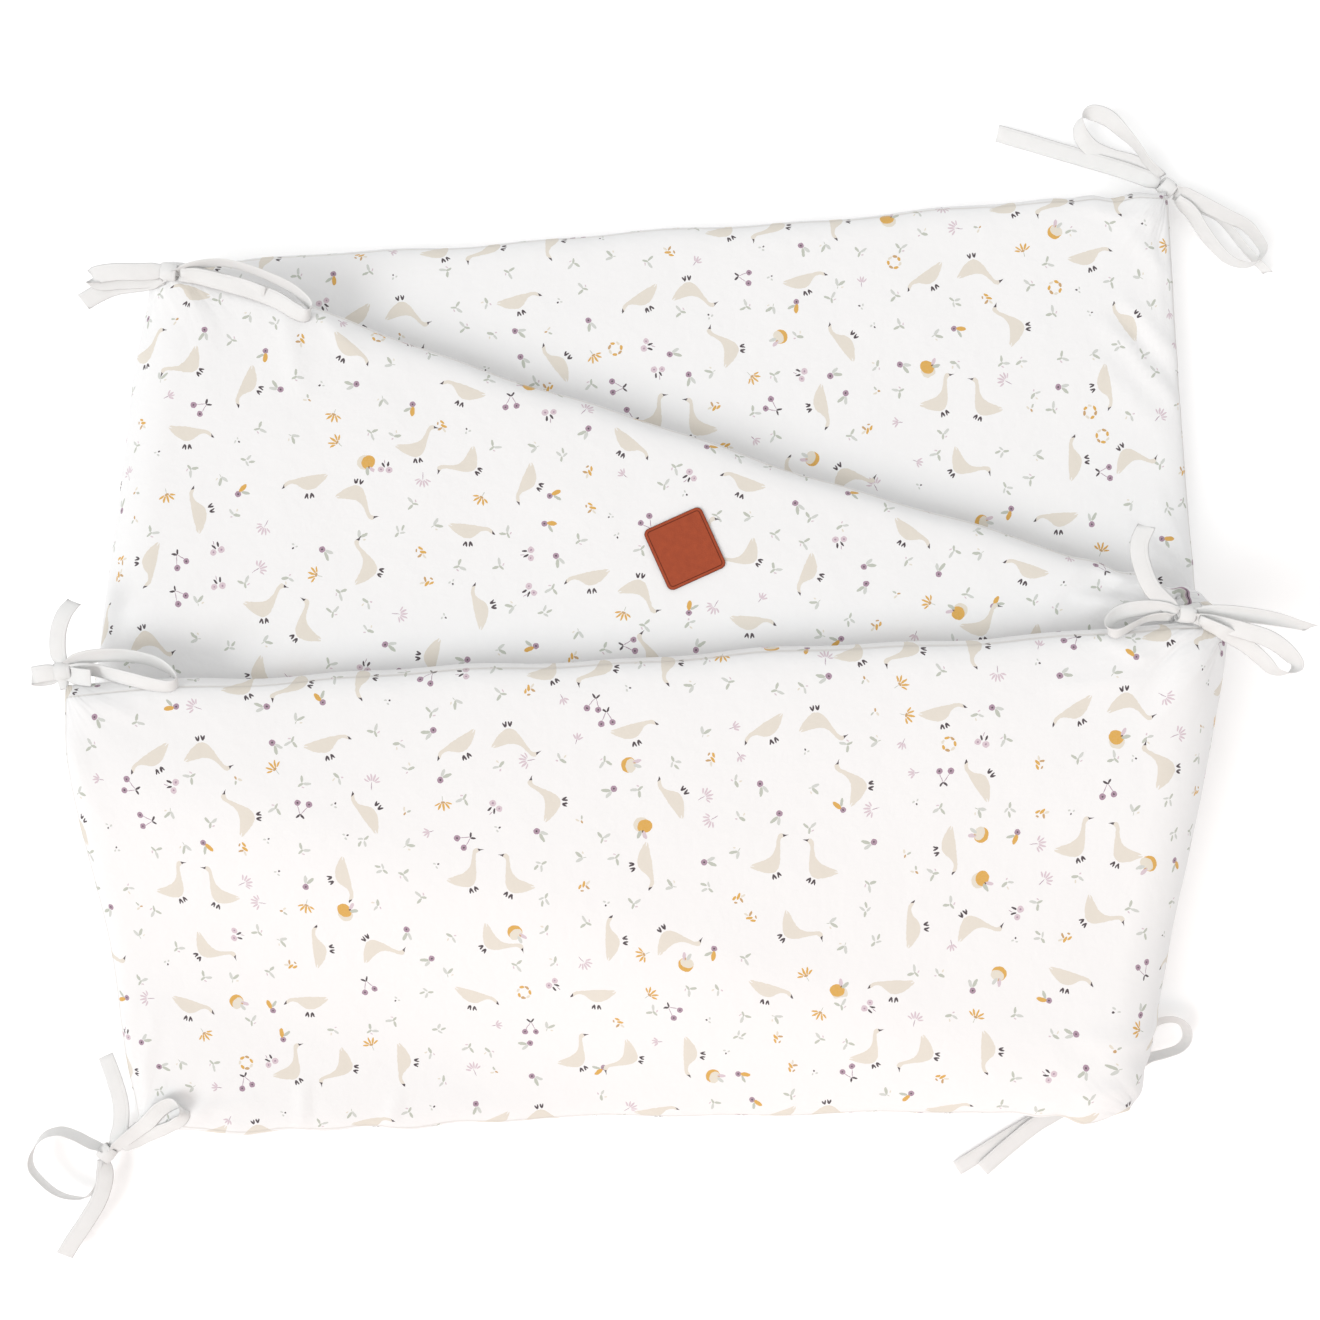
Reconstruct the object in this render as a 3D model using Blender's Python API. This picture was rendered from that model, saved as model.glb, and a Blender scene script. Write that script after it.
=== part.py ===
"""A padded crib bumper lying folded: one long strip in three layers, with tie tapes and a patch.

The strip is drawn flat first. u runs along it, from the free end of the top layer to the free
end of the bottom layer, v runs across it, and h is the height above its middle surface.
place() then folds it twice and lets it sag over the edges of the layers below.
Units are metres, +Z is up, and the bottom layer lies on z = 0.
"""

import math

import bmesh
import bpy
import numpy as np
from mathutils import Matrix, Vector
from mathutils.bvhtree import BVHTree

MM = 0.001

# The strip
STRIP_LENGTH = 2102 * MM
STRIP_WIDTH = 304 * MM
STRIP_THICKNESS = 34 * MM
LAYER_GAP = 3 * MM
EDGE_ROLL = 20 * MM  # how far in from a seam the padding reaches its full thickness
CROWN = 0.05  # share of the thickness that the middle stands above the edges
END_DRAW_IN = 2 * MM  # the seam of a free end bows in between its corners

# The folds: where each starts on the strip's middle line, and how each layer lies seen from above
TOP_HEADING = math.radians(3.3)
MIDDLE_HEADING = math.radians(160.4)
BOTTOM_HEADING = math.radians(4.1)
RIGHT_FOLD_START = 663 * MM
LEFT_FOLD_START = 1376 * MM
RIGHT_FOLD_TOP = (320 * MM, 23 * MM)  # where the right fold's axis meets the strip's top edge
FOLD_RADIUS = (STRIP_THICKNESS + LAYER_GAP) / 2
FOLD_LENGTH = math.pi * FOLD_RADIUS
LAYER_STEP = 2 * FOLD_RADIUS
TOP_LAYER_MIDDLE = STRIP_THICKNESS / 2 + 2 * LAYER_STEP

# What the cloth does between its corners: the middle layer bends towards the back as it nears
# the right fold, and the top layer's lower edge swings out there
MIDDLE_BEND = 21 * MM
LOWER_SWING = 9 * MM

# How far past the edge of a lower layer an upper one takes to come down by one layer
DROP_PAST_BOTTOM = 260 * MM
DROP_PAST_MIDDLE = 155 * MM

# The front corner of the right fold rests on its tie
CORNER_LIFT = 6 * MM
CORNER_LIFT_REACH = 85 * MM
LIFTED_CORNER = (300 * MM, -285 * MM)

# The whole lies with the middle of its box over the origin
CENTRE = (-6 * MM, -12.5 * MM)

# The tapes
TAPE_WIDTH = 11 * MM
TAPE_THICKNESS = 1.3 * MM
ROOT_GATHER = 0.15  # share of its width that a tape has where it is sewn in
SEAT_GAP = 0.35 * MM
TAPE_CLEARANCE = 2 * MM
KNOT_SIZE = (15 * MM, 13 * MM, 10 * MM)

# The patch
PATCH_SIZE = (40 * MM, 42 * MM)
PATCH_THICKNESS = 1.6 * MM
PATCH_CORNER = 4 * MM
PATCH_AT = (15.7 * MM, 70.3 * MM)
PATCH_TURN = math.radians(24.3)

COTTON = ("printed cotton", (0.93, 0.92, 0.90), 0.85)
TAPE = ("cotton tape", (0.90, 0.90, 0.89), 0.80)
LEATHER = ("leather", (0.42, 0.10, 0.04), 0.55)


# ---------------------------------------------------------------- folding the strip


def direction(angle):
    return np.array((math.cos(angle), math.sin(angle)))


def smooth_step(x):
    x = np.clip(x, 0.0, 1.0)
    return x * x * (3 - 2 * x)


RIGHT_FOLD_AXIS = (TOP_HEADING + MIDDLE_HEADING) / 2
LEFT_FOLD_AXIS = (MIDDLE_HEADING + BOTTOM_HEADING) / 2
RIGHT_SKEW = math.tan(TOP_HEADING + math.pi / 2 - RIGHT_FOLD_AXIS)
LEFT_SKEW = math.tan(LEFT_FOLD_AXIS - (2 * RIGHT_FOLD_AXIS - TOP_HEADING - math.pi / 2))
RIGHT_ORIGIN = np.array(RIGHT_FOLD_TOP)
TOP_ORIGIN = RIGHT_ORIGIN - direction(TOP_HEADING) * (RIGHT_FOLD_START + STRIP_WIDTH / 2 * RIGHT_SKEW)
MIDDLE_LENGTH = LEFT_FOLD_START - RIGHT_FOLD_START - FOLD_LENGTH
LEFT_ORIGIN = RIGHT_ORIGIN + direction(MIDDLE_HEADING) * MIDDLE_LENGTH


def fold(plan, origin, axis_angle, outward):
    """Splits a point into its place along a fold's axis and how far past the axis it has gone."""
    along = direction(axis_angle)
    past = outward * np.array((along[1], -along[0]))
    offset = plan - origin
    return offset @ along, offset @ past, along, past


def turn_under(along_by, past_by, along, past, origin, height, side):
    """Rolls what has gone past a fold's axis down and back under.

    height is the fold's own height above the middle surface, and side is 1 where the strip's
    face is up before the fold and -1 where it is down.
    """
    angle = np.clip(past_by / FOLD_RADIUS, 0.0, math.pi)
    flat_before = np.minimum(past_by, 0.0)
    flat_after = np.maximum(past_by - FOLD_LENGTH, 0.0)
    reach = flat_before - flat_after + (FOLD_RADIUS + side * height) * np.sin(angle)
    plan = origin + along_by[..., None] * along + reach[..., None] * past
    rise = (FOLD_RADIUS + side * height) * np.cos(angle) - FOLD_RADIUS
    return plan, rise, angle


def folded(u, v, h):
    """The folded strip before it sags: its plan, its height and how many layers lie under it."""
    across = direction(TOP_HEADING + math.pi / 2)
    from_top = v - STRIP_WIDTH / 2
    plan = TOP_ORIGIN + u[..., None] * direction(TOP_HEADING) + from_top[..., None] * across
    along_by, past_by, along, past = fold(plan, RIGHT_ORIGIN, RIGHT_FOLD_AXIS, 1)
    plan, rise, right_angle = turn_under(along_by, past_by, along, past, RIGHT_ORIGIN, h, 1)
    height = TOP_LAYER_MIDDLE + rise
    middle_plan = RIGHT_ORIGIN + along_by[..., None] * along
    middle_plan = middle_plan - np.maximum(past_by - FOLD_LENGTH, 0.0)[..., None] * past
    along_by, past_by, along, past = fold(middle_plan, LEFT_ORIGIN, LEFT_FOLD_AXIS, -1)
    left_plan, rise, left_angle = turn_under(along_by, past_by, along, past, LEFT_ORIGIN, h, -1)
    beyond = past_by > 0
    plan = np.where(beyond[..., None], left_plan, plan)
    height = np.where(beyond, TOP_LAYER_MIDDLE - LAYER_STEP + rise, height)
    layers = 2 - (1 - np.cos(right_angle)) / 2 - np.where(beyond, (1 - np.cos(left_angle)) / 2, 0)
    to_right = np.clip((LEFT_FOLD_START - u) / MIDDLE_LENGTH, 0, 1)
    bend = MIDDLE_BEND * to_right**2 * smooth_step(2 - layers)
    lower = np.clip(-v / STRIP_WIDTH + 0.5, 0, 1)
    swing = LOWER_SWING * lower * smooth_step(u / RIGHT_FOLD_START) * np.clip(layers - 1, 0, 1)
    plan = plan + bend[..., None] * direction(MIDDLE_HEADING - math.pi / 2)
    plan = plan - swing[..., None] * direction(RIGHT_FOLD_AXIS)
    return plan, height, layers


def footprint(start, end, overhang_start, overhang_end):
    """The four corners of a layer, seen from above, from the strip's length between two places."""
    corners = []
    for u, grow, side in ((start, overhang_start, 1), (end, overhang_end, 1),
                          (end, overhang_end, -1), (start, overhang_start, -1)):
        skew = RIGHT_SKEW if u < LEFT_FOLD_START - 0.1 else LEFT_SKEW
        skew = 0.0 if u in (0.0, STRIP_LENGTH) else skew
        across = side * STRIP_WIDTH / 2
        here = np.array([u + across * skew])
        plan, _, _ = folded(here, np.array([across]), np.array([0.0]))
        ahead, _, _ = folded(here + grow / 100, np.array([across]), np.array([0.0]))
        outward = (ahead - plan)[0]
        length = np.linalg.norm(outward)
        corners.append(plan[0] + (outward / length * abs(grow) if length else 0))
    return corners


def distance_outside(plan, corners):
    """How far each point lies outside a convex outline, and 0 inside it."""
    far = np.full(plan.shape[:-1], -1.0)
    centre = sum(corners) / len(corners)
    for first, second in zip(corners, corners[1:] + corners[:1]):
        edge = (second - first) / np.linalg.norm(second - first)
        normal = np.array((edge[1], -edge[0]))
        normal = normal if (centre - first) @ normal < 0 else -normal
        far = np.maximum(far, (plan - first) @ normal)
    return np.maximum(far, 0.0)


FOLD_REACH = FOLD_RADIUS + STRIP_THICKNESS / 2
MIDDLE_FOOTPRINT = footprint(
    RIGHT_FOLD_START + FOLD_LENGTH, LEFT_FOLD_START, -FOLD_REACH, FOLD_REACH
)
BOTTOM_FOOTPRINT = footprint(LEFT_FOLD_START + FOLD_LENGTH, STRIP_LENGTH, -FOLD_REACH, 0.0)


def place(u, v, h):
    """Where a point of the flat strip lies once it is folded and has sagged."""
    plan, height, layers = folded(u, v, h)
    past_bottom = distance_outside(plan, BOTTOM_FOOTPRINT) / DROP_PAST_BOTTOM
    past_middle = distance_outside(plan, MIDDLE_FOOTPRINT) / DROP_PAST_MIDDLE
    sag = np.clip(layers, 0, 1) * smooth_step(past_bottom)
    sag = sag + np.clip(layers - 1, 0, 1) * smooth_step(past_middle)
    height = height - LAYER_STEP * sag
    from_corner = np.linalg.norm(plan - np.array(LIFTED_CORNER), axis=-1)
    height = height + CORNER_LIFT * np.exp(-((from_corner / CORNER_LIFT_REACH) ** 2))
    plan = plan - np.array(CENTRE)
    return np.concatenate([plan, np.maximum(height, 0.0)[..., None]], axis=-1)


# ---------------------------------------------------------------- the padded strip


def roll(distance):
    """How full the padding is at a distance from a seam: a round edge that ends at 1."""
    near = 1 - np.clip(distance / EDGE_ROLL, 0.0, 1.0)
    return np.sqrt(1 - near**2)


def skew_at(s):
    """How much a row across the strip leans, so that rows run along the folds."""
    stations = (0, RIGHT_FOLD_START, RIGHT_FOLD_START + FOLD_LENGTH, LEFT_FOLD_START,
                LEFT_FOLD_START + FOLD_LENGTH, STRIP_LENGTH)
    leans = (0, RIGHT_SKEW, RIGHT_SKEW, LEFT_SKEW, LEFT_SKEW, 0)
    return np.interp(s, stations, leans)


def spaced(start, end, count):
    return list(np.linspace(start, end, count, endpoint=False))


def row_places():
    """Rows along the strip, close together at the free ends and round the folds."""
    near_end = [0, 2 * MM, 6 * MM, 13 * MM]
    right_end = RIGHT_FOLD_START + FOLD_LENGTH
    left_end = LEFT_FOLD_START + FOLD_LENGTH
    rows = near_end + spaced(EDGE_ROLL, RIGHT_FOLD_START, 13)
    rows += spaced(RIGHT_FOLD_START, right_end, 10)
    rows += spaced(right_end, LEFT_FOLD_START, 14)
    rows += spaced(LEFT_FOLD_START, left_end, 10)
    rows += spaced(left_end, STRIP_LENGTH - EDGE_ROLL, 13)
    return np.array(rows + [STRIP_LENGTH - EDGE_ROLL] + [STRIP_LENGTH - x for x in near_end[::-1]])


def column_places():
    near_edge = [0, 2 * MM, 6 * MM, 13 * MM]
    half = STRIP_WIDTH / 2
    middle = list(np.linspace(-half + EDGE_ROLL, half - EDGE_ROLL, 7))
    return np.array([-half + x for x in near_edge] + middle + [half - x for x in near_edge[::-1]])


def unevenness(u, v):
    """The padding's soft lumps, as a share of its thickness."""
    waves = ((37.0, 9.0, 0.4, 0.018), (-23.0, 21.0, 1.7, 0.014), (61.0, -17.0, 2.9, 0.010))
    return sum(size * np.sin(along * u + across * v + start) for along, across, start, size in waves)


def thickness_at(u, v, face):
    """Half the strip's thickness on one face. Its seams are level with its middle."""
    from_side = STRIP_WIDTH / 2 - np.abs(v)
    from_end = np.minimum(u, STRIP_LENGTH - u)
    full = roll(from_side) * roll(from_end)
    crown = 1 - CROWN * np.abs(v / (STRIP_WIDTH / 2)) ** 2 + unevenness(u, v)
    on_floor = smooth_step((u - LEFT_FOLD_START - FOLD_LENGTH) / (40 * MM)) if face < 0 else 0.0
    crown = np.minimum(crown, 1.0) * (1 - on_floor) + on_floor
    return STRIP_THICKNESS / 2 * full * crown


def edge_wander(u, v):
    """A sewn edge isn't straight: it wanders by a millimetre or two."""
    at_edge = np.abs(v / (STRIP_WIDTH / 2)) ** 4
    wander = np.sin(29.0 * u + np.sign(v)) + 0.6 * np.sin(71.0 * u + 2.0 * np.sign(v))
    return v + 1.1 * MM * wander * at_edge


def strip_point(u, v, face):
    """A point on one face of the sewn and folded strip."""
    half_thickness = thickness_at(u, v, face)
    mid_end = 1 - (v / (STRIP_WIDTH / 2)) ** 2
    toward_middle = np.sign(STRIP_LENGTH / 2 - u)
    end_pull = np.exp(-np.minimum(u, STRIP_LENGTH - u) / (30 * MM))
    u = u + toward_middle * END_DRAW_IN * mid_end * end_pull
    return place(u, edge_wander(u, v), face * half_thickness)


def make_pad():
    rows = row_places()
    columns = column_places()
    s, v = np.meshgrid(rows, columns, indexing="ij")
    u = s + v * skew_at(s)
    faces = {side: strip_point(u, v, side) for side in (1, -1)}
    mesh = bmesh.new()
    grid = {}
    for side in (1, -1):
        for i in range(len(rows)):
            for j in range(len(columns)):
                on_seam = i in (0, len(rows) - 1) or j in (0, len(columns) - 1)
                if on_seam and side < 0:
                    grid[side, i, j] = grid[1, i, j]
                else:
                    grid[side, i, j] = mesh.verts.new(faces[side][i, j])
    for side in (1, -1):
        for i in range(len(rows) - 1):
            for j in range(len(columns) - 1):
                corners = [grid[side, i, j], grid[side, i + 1, j],
                           grid[side, i + 1, j + 1], grid[side, i, j + 1]]
                mesh.faces.new(corners if side > 0 else corners[::-1])
    return finish("bumper_pad", mesh, COTTON)


# ---------------------------------------------------------------- objects and materials


def material(finish_of):
    name, colour, roughness = finish_of
    made = bpy.data.materials.get(name)
    if made:
        return made
    made = bpy.data.materials.new(name)
    made.use_nodes = True
    shader = made.node_tree.nodes["Principled BSDF"]
    shader.inputs["Base Color"].default_value = (*colour, 1)
    shader.inputs["Roughness"].default_value = roughness
    shader.inputs["Metallic"].default_value = 0.0
    return made


def finish(name, mesh, finish_of):
    """Makes an object of a bmesh, with its faces pointing out."""
    bmesh.ops.recalc_face_normals(mesh, faces=mesh.faces)
    if mesh.calc_volume(signed=True) < 0:
        bmesh.ops.reverse_faces(mesh, faces=mesh.faces)
    data = bpy.data.meshes.new(name)
    mesh.to_mesh(data)
    mesh.free()
    data.shade_smooth()
    data.set_sharp_from_angle(angle=math.radians(50))
    data.materials.append(material(finish_of))
    made = bpy.data.objects.new(name, data)
    bpy.context.scene.collection.objects.link(made)
    return made


# ---------------------------------------------------------------- the tie tapes


RIGHT_APEX = RIGHT_FOLD_START + FOLD_LENGTH / 2
LEFT_APEX = LEFT_FOLD_START + FOLD_LENGTH / 2

# Where each tie is sewn on: its place along the strip, the edge (1 is the back edge, as the
# layers lie), where its knot lies in plan and how high its middle is, in millimetres.
TIES = (
    # name, along, edge, knot_x, knot_y, knot_z, knot_turn, over
    ("tie_top_end_back", 0.0, 1, -370, -6, 90, 20, True),
    ("tie_top_end_front", 0.0, -1, -368, -331, 14, 60, True),
    ("tie_right_fold_back", RIGHT_APEX, 1, 329, 31, 98, -10, True),
    ("tie_right_fold_front", RIGHT_APEX, -1, 310, -290, 6, 40, False),
    ("tie_left_fold_back", LEFT_FOLD_START, 1, -310, 248, 72, -10, True),
    ("tie_left_fold_front", LEFT_APEX, -1, -352, -74, 24, -60, False),
    ("tie_bottom_end_back", STRIP_LENGTH, 1, 334, 322, 15, -40, True),
    ("tie_bottom_end_front", STRIP_LENGTH, -1, 352, -8, 10, -100, False),
)

# What leaves each knot. A loop opens by its spread in a plane that its lean turns from level
# (0 degrees) to upright (90); a tail lies flat at lean 0 and on edge at 90. Angles are in
# degrees and lengths in millimetres; bow is sideways, rise is in the middle, fall at the end.
BRANCHES = (
    # tie, kind, heading, reach, spread, bow, rise, fall, lean, twist
    ("tie_top_end_back", "tail", 84, 41, 0, 5, 3, 14, 15, 20),
    ("tie_top_end_back", "loop", 183, 23, 9, 0, 1, 4, 74, 0),
    ("tie_top_end_back", "loop", -7, 78, 26, 4, 8, -12, 42, 0),
    ("tie_top_end_back", "tail", 232, 13, 0, 0, 0, 44, 0, 0),
    ("tie_top_end_front", "tail", 96, 64, 0, -6, 4, 2, 8, 0),
    ("tie_top_end_front", "tail", 249, 74, 0, -5, 0, 12, 8, 0),
    ("tie_top_end_front", "loop", 42, 70, 16, -6, 14, -16, 62, 0),
    ("tie_top_end_front", "loop", 190, 54, 42, 0, 0, 6, 14, 0),
    ("tie_right_fold_back", "tail", 146, 52, 0, -24, 10, -2, 12, -10),
    ("tie_right_fold_back", "tail", -5, 80, 0, -5, 4, 8, 10, 62),
    ("tie_right_fold_back", "loop", -27, 80, 22, -4, 2, 16, 38, 0),
    ("tie_right_fold_back", "loop", 186, 40, 14, 4, 8, -6, 58, 0),
    ("tie_right_fold_front", "tail", 207, 124, 0, 4, 0, 4, 0, 0),
    ("tie_right_fold_front", "tail", 215, 107, 0, -4, 0, 4, 0, 0),
    ("tie_right_fold_front", "loop", 50, 60, 26, 4, 0, 0, 30, 0),
    ("tie_left_fold_back", "tail", 192, 58, 0, 7, -2, 16, 10, 0),
    ("tie_left_fold_back", "tail", -24, 84, 0, 4, 4, -2, 8, 0),
    ("tie_left_fold_back", "loop", 177, 49, 10, 0, 3, 6, 80, 0),
    ("tie_left_fold_back", "loop", -24, 90, 26, 10, 8, 0, 44, 0),
    ("tie_left_fold_front", "tail", -58, 66, 0, 6, 0, 18, 10, 0),
    ("tie_left_fold_front", "tail", -92, 62, 0, -6, 0, 18, 10, 0),
    ("tie_left_fold_front", "loop", -24, 58, 18, 4, 4, 12, 60, 0),
    ("tie_left_fold_front", "loop", -75, 60, 18, 0, 4, 12, 60, 0),
    ("tie_bottom_end_back", "tail", 162, 112, 0, -4, 2, 12, 6, 0),
    ("tie_bottom_end_back", "tail", -40, 88, 0, 4, 0, 8, 60, 25),
    ("tie_bottom_end_back", "loop", 139, 66, 22, -8, 2, 6, 38, 0),
    ("tie_bottom_end_back", "loop", -38, 83, 26, 0, 0, 6, 34, 0),
    ("tie_bottom_end_front", "tail", -118, 66, 0, 5, 0, 4, 0, 0),
    ("tie_bottom_end_front", "tail", -150, 70, 0, -5, 0, 4, 0, 0),
    ("tie_bottom_end_front", "loop", -100, 54, 16, 3, 0, 0, 50, 0),
    ("tie_bottom_end_front", "loop", -165, 56, 16, 0, 0, 0, 50, 0),
)
LOOP_STEPS = 14
TAIL_STEPS = 7
BAND_PARTING = 2.2 * MM  # half the distance between a loop's two bands inside the knot
EASE_SLOPE = 0.7  # how steeply a tape climbs over what it lies on


def surface_under(tree, point):
    """The height of the pad, or of the floor, under a point."""
    hit, _, _, _ = tree.ray_cast(Vector((point[0], point[1], 1.0)), Vector((0, 0, -1)))
    return hit.z if hit else 0.0


def lifted_clear(points, widths, tree):
    """Raises a tape's route until its edges clear what it lies on, easing up and down to there."""
    need = []
    for point, width in zip(points, widths):
        short = 0.0
        for share in (-0.5, 0.0, 0.5):
            edge = point + width * TAPE_WIDTH * share
            ground = surface_under(tree, edge) if tree else 0.0
            clearance = TAPE_CLEARANCE if ground > 0 else SEAT_GAP
            short = max(short, ground + clearance + TAPE_THICKNESS / 2 - edge[2])
        need.append(short)
    steps = np.linalg.norm(np.diff(points[:, :2], axis=0), axis=1)
    along = np.concatenate([[0.0], np.cumsum(steps)])
    apart = np.abs(along[:, None] - along[None, :])
    lift = (np.array(need)[None, :] - EASE_SLOPE * apart).max(axis=1)
    lifted = points.copy()
    lifted[:, 2] += np.maximum(lift, 0.0)
    return lifted


def branch_route(kind, heading, reach, spread, bow, rise, fall, lean, twist):
    """A loop's or a tail's middle line from the knot, and its width's direction at each point."""
    ahead = np.array((*direction(math.radians(heading)), 0.0))
    sideways = np.array((-ahead[1], ahead[0], 0.0))
    up = np.array((0.0, 0.0, 1.0))
    t = np.linspace(0.0, 1.0, (LOOP_STEPS if kind == "loop" else TAIL_STEPS) + 1)
    out = np.sin(math.pi * t) if kind == "loop" else t
    angle = math.radians(lean)
    opening = math.cos(angle) * sideways + math.sin(angle) * up
    across = math.sin(angle) * sideways - math.cos(angle) * up
    points = np.outer(out * reach * MM, ahead) + np.outer(bow * MM * out**2, sideways)
    points += np.outer((rise * np.sin(math.pi * out) - fall * out**2) * MM, up)
    if kind == "loop":
        parted = spread * MM / 2 * np.sin(2 * math.pi * t) + BAND_PARTING * np.cos(math.pi * t)
        return points + np.outer(parted, opening), np.repeat(across[None, :], len(t), axis=0)
    turn = math.radians(lean) + math.radians(twist) * t
    widths = np.cos(turn)[:, None] * sideways + np.sin(turn)[:, None] * up
    return points, widths


def sweep_tape(name, points, widths):
    """A flat tape of even width and thickness along a route, closed at both ends."""
    mesh = bmesh.new()
    tangents = np.gradient(points, axis=0)
    rings = []
    for point, width, tangent in zip(points, widths, tangents):
        tangent = tangent / np.linalg.norm(tangent)
        share = np.linalg.norm(width)
        width = width - tangent * (width @ tangent)
        width = width / np.linalg.norm(width)
        face = np.cross(tangent, width)
        side, top = width * share * TAPE_WIDTH / 2, face * TAPE_THICKNESS / 2
        corners = (point - side - top, point + side - top, point + side + top, point - side + top)
        rings.append([mesh.verts.new(corner) for corner in corners])
    mesh.faces.new(rings[0][::-1])
    mesh.faces.new(rings[-1])
    for first, second in zip(rings, rings[1:]):
        for k in range(4):
            n = (k + 1) % 4
            mesh.faces.new((first[k], first[n], second[n], second[k]))
    made = finish(name, mesh, TAPE)
    made.hide_render = True
    made.display_type = "WIRE"
    return made


def knot_height(centre, tree):
    """How high a knot's middle has to be to lie clear on what is under it."""
    highest = 0.0
    for share in (0.0, 0.5, 0.9):
        for angle in np.linspace(0.0, 2 * math.pi, 8, endpoint=False):
            spot = centre[:2] + direction(angle) * share * KNOT_SIZE[0] / 2
            below = KNOT_SIZE[2] / 2 * math.sqrt(1 - share**2)
            highest = max(highest, surface_under(tree, spot) + TAPE_CLEARANCE + below)
    return highest


def make_knot(name, centre, turn):
    mesh = bmesh.new()
    bmesh.ops.create_icosphere(mesh, subdivisions=2, radius=0.5)
    bmesh.ops.scale(mesh, vec=KNOT_SIZE, verts=mesh.verts)
    made = finish(name, mesh, TAPE)
    made.data.transform(matrix_at(centre, turn))
    return made


def matrix_at(centre, turn):
    return Matrix.Translation(Vector(centre)) @ Matrix.Rotation(turn, 4, "Z")


def root_route(seat, centre):
    """The short tape from the seam to the knot. It is gathered where it starts, just off the seam."""
    run = centre - seat
    run = run / np.linalg.norm(run)
    start = seat + run * SEAT_GAP
    t = np.linspace(0.0, 1.0, 4)
    points = start + np.outer(t, centre - start)
    side = np.cross(run, (0.0, 0.0, 1.0))
    side = side / np.linalg.norm(side)
    return points, np.outer(ROOT_GATHER + (1 - ROOT_GATHER) * t, side)


def make_tie(name, along, edge, knot_at, knot_turn, over, tree, clearance):
    across = edge * STRIP_WIDTH / 2
    u = np.array([along + across * float(skew_at(along))])
    seat = strip_point(u, np.array([across]), 1)[0]
    centre = np.array(knot_at) * MM - np.array((*CENTRE, 0.0))
    if over:
        centre[2] = max(centre[2], knot_height(centre, tree))
    knot = make_knot(name, centre, math.radians(knot_turn))
    pieces = [root_route(seat, centre)]
    for tie, *shape in BRANCHES:
        if tie == name:
            points, widths = branch_route(*shape)
            pieces.append((lifted_clear(points + centre, widths, tree if over else None), widths))
    for number, (points, widths) in enumerate(pieces):
        piece = sweep_tape(f"{name}_piece_{number}", points, widths)
        union = knot.modifiers.new(f"joined {number}", "BOOLEAN")
        union.operation = "UNION"
        union.solver = "EXACT"
        union.use_self = True
        union.object = piece
    seated = knot.modifiers.new("seated on the pad", "BOOLEAN")
    seated.operation = "DIFFERENCE"
    seated.solver = "EXACT"
    seated.object = clearance
    return knot


def make_clearance(pad):
    """The pad swollen by the seat gap, which trims whatever a tie would press into it."""
    data = pad.data.copy()
    swollen = [vertex.co + vertex.normal * SEAT_GAP for vertex in data.vertices]
    for vertex, place_now in zip(data.vertices, swollen):
        vertex.co = place_now
    made = bpy.data.objects.new("pad_clearance", data)
    bpy.context.scene.collection.objects.link(made)
    made.hide_render = True
    made.display_type = "WIRE"
    return made


def make_ties(pad):
    tree = BVHTree.FromObject(pad, bpy.context.evaluated_depsgraph_get())
    clearance = make_clearance(pad)
    for name, along, edge, x, y, z, turn, over in TIES:
        make_tie(name, along, edge, (x, y, z), turn, over, tree, clearance)


# ---------------------------------------------------------------- the patch


def make_patch(pad):
    """A flat rounded square of leather, laid on the slope of the middle layer's top."""
    tree = BVHTree.FromObject(pad, bpy.context.evaluated_depsgraph_get())
    centre = np.array(PATCH_AT) - np.array(CENTRE)
    mesh = bmesh.new()
    bmesh.ops.create_cube(mesh, size=1.0)
    bmesh.ops.scale(mesh, vec=(*PATCH_SIZE, PATCH_THICKNESS), verts=mesh.verts)
    upright = [e for e in mesh.edges if abs(e.verts[0].co.z - e.verts[1].co.z) > PATCH_THICKNESS / 2]
    bmesh.ops.bevel(mesh, geom=upright, offset=PATCH_CORNER, segments=5, profile=0.5,
                    affect="EDGES", material=-1)
    top_rim = [e for e in mesh.edges if all(v.co.z > 0 for v in e.verts)]
    bmesh.ops.bevel(mesh, geom=top_rim, offset=0.4 * MM, segments=1, profile=0.5,
                    affect="EDGES", material=-1)
    bmesh.ops.rotate(mesh, verts=mesh.verts, cent=(0, 0, 0),
                     matrix=matrix_at((0, 0, 0), PATCH_TURN).to_3x3())
    reach = max(PATCH_SIZE) / 2
    heights = {}
    for x in np.linspace(-reach, reach, 13):
        for y in np.linspace(-reach, reach, 13):
            heights[x, y] = surface_under(tree, (centre[0] + x, centre[1] + y))
    tilt_x = (heights[reach, 0.0] - heights[-reach, 0.0]) / (2 * reach)
    tilt_y = (heights[0.0, reach] - heights[0.0, -reach]) / (2 * reach)
    seat = max(z - tilt_x * x - tilt_y * y for (x, y), z in heights.items())
    base = seat + SEAT_GAP + PATCH_THICKNESS / 2
    for vertex in mesh.verts:
        x, y, z = vertex.co
        vertex.co = (centre[0] + x, centre[1] + y, base + z + tilt_x * x + tilt_y * y)
    return finish("patch", mesh, LEATHER)


def main():
    for old in list(bpy.data.objects):
        bpy.data.objects.remove(old)
    pad = make_pad()
    make_ties(pad)
    make_patch(pad)


main()
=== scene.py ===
# %% [markdown]
# # A padded crib bumper
# One long padded strip of printed cotton lies folded in a Z, with its tapes tied in bows and a
# leather patch sewn on. This lesson dresses the plain solids of it: it sews and fills the strip,
# prints the cloth, ties the tapes and grains the leather.

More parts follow.
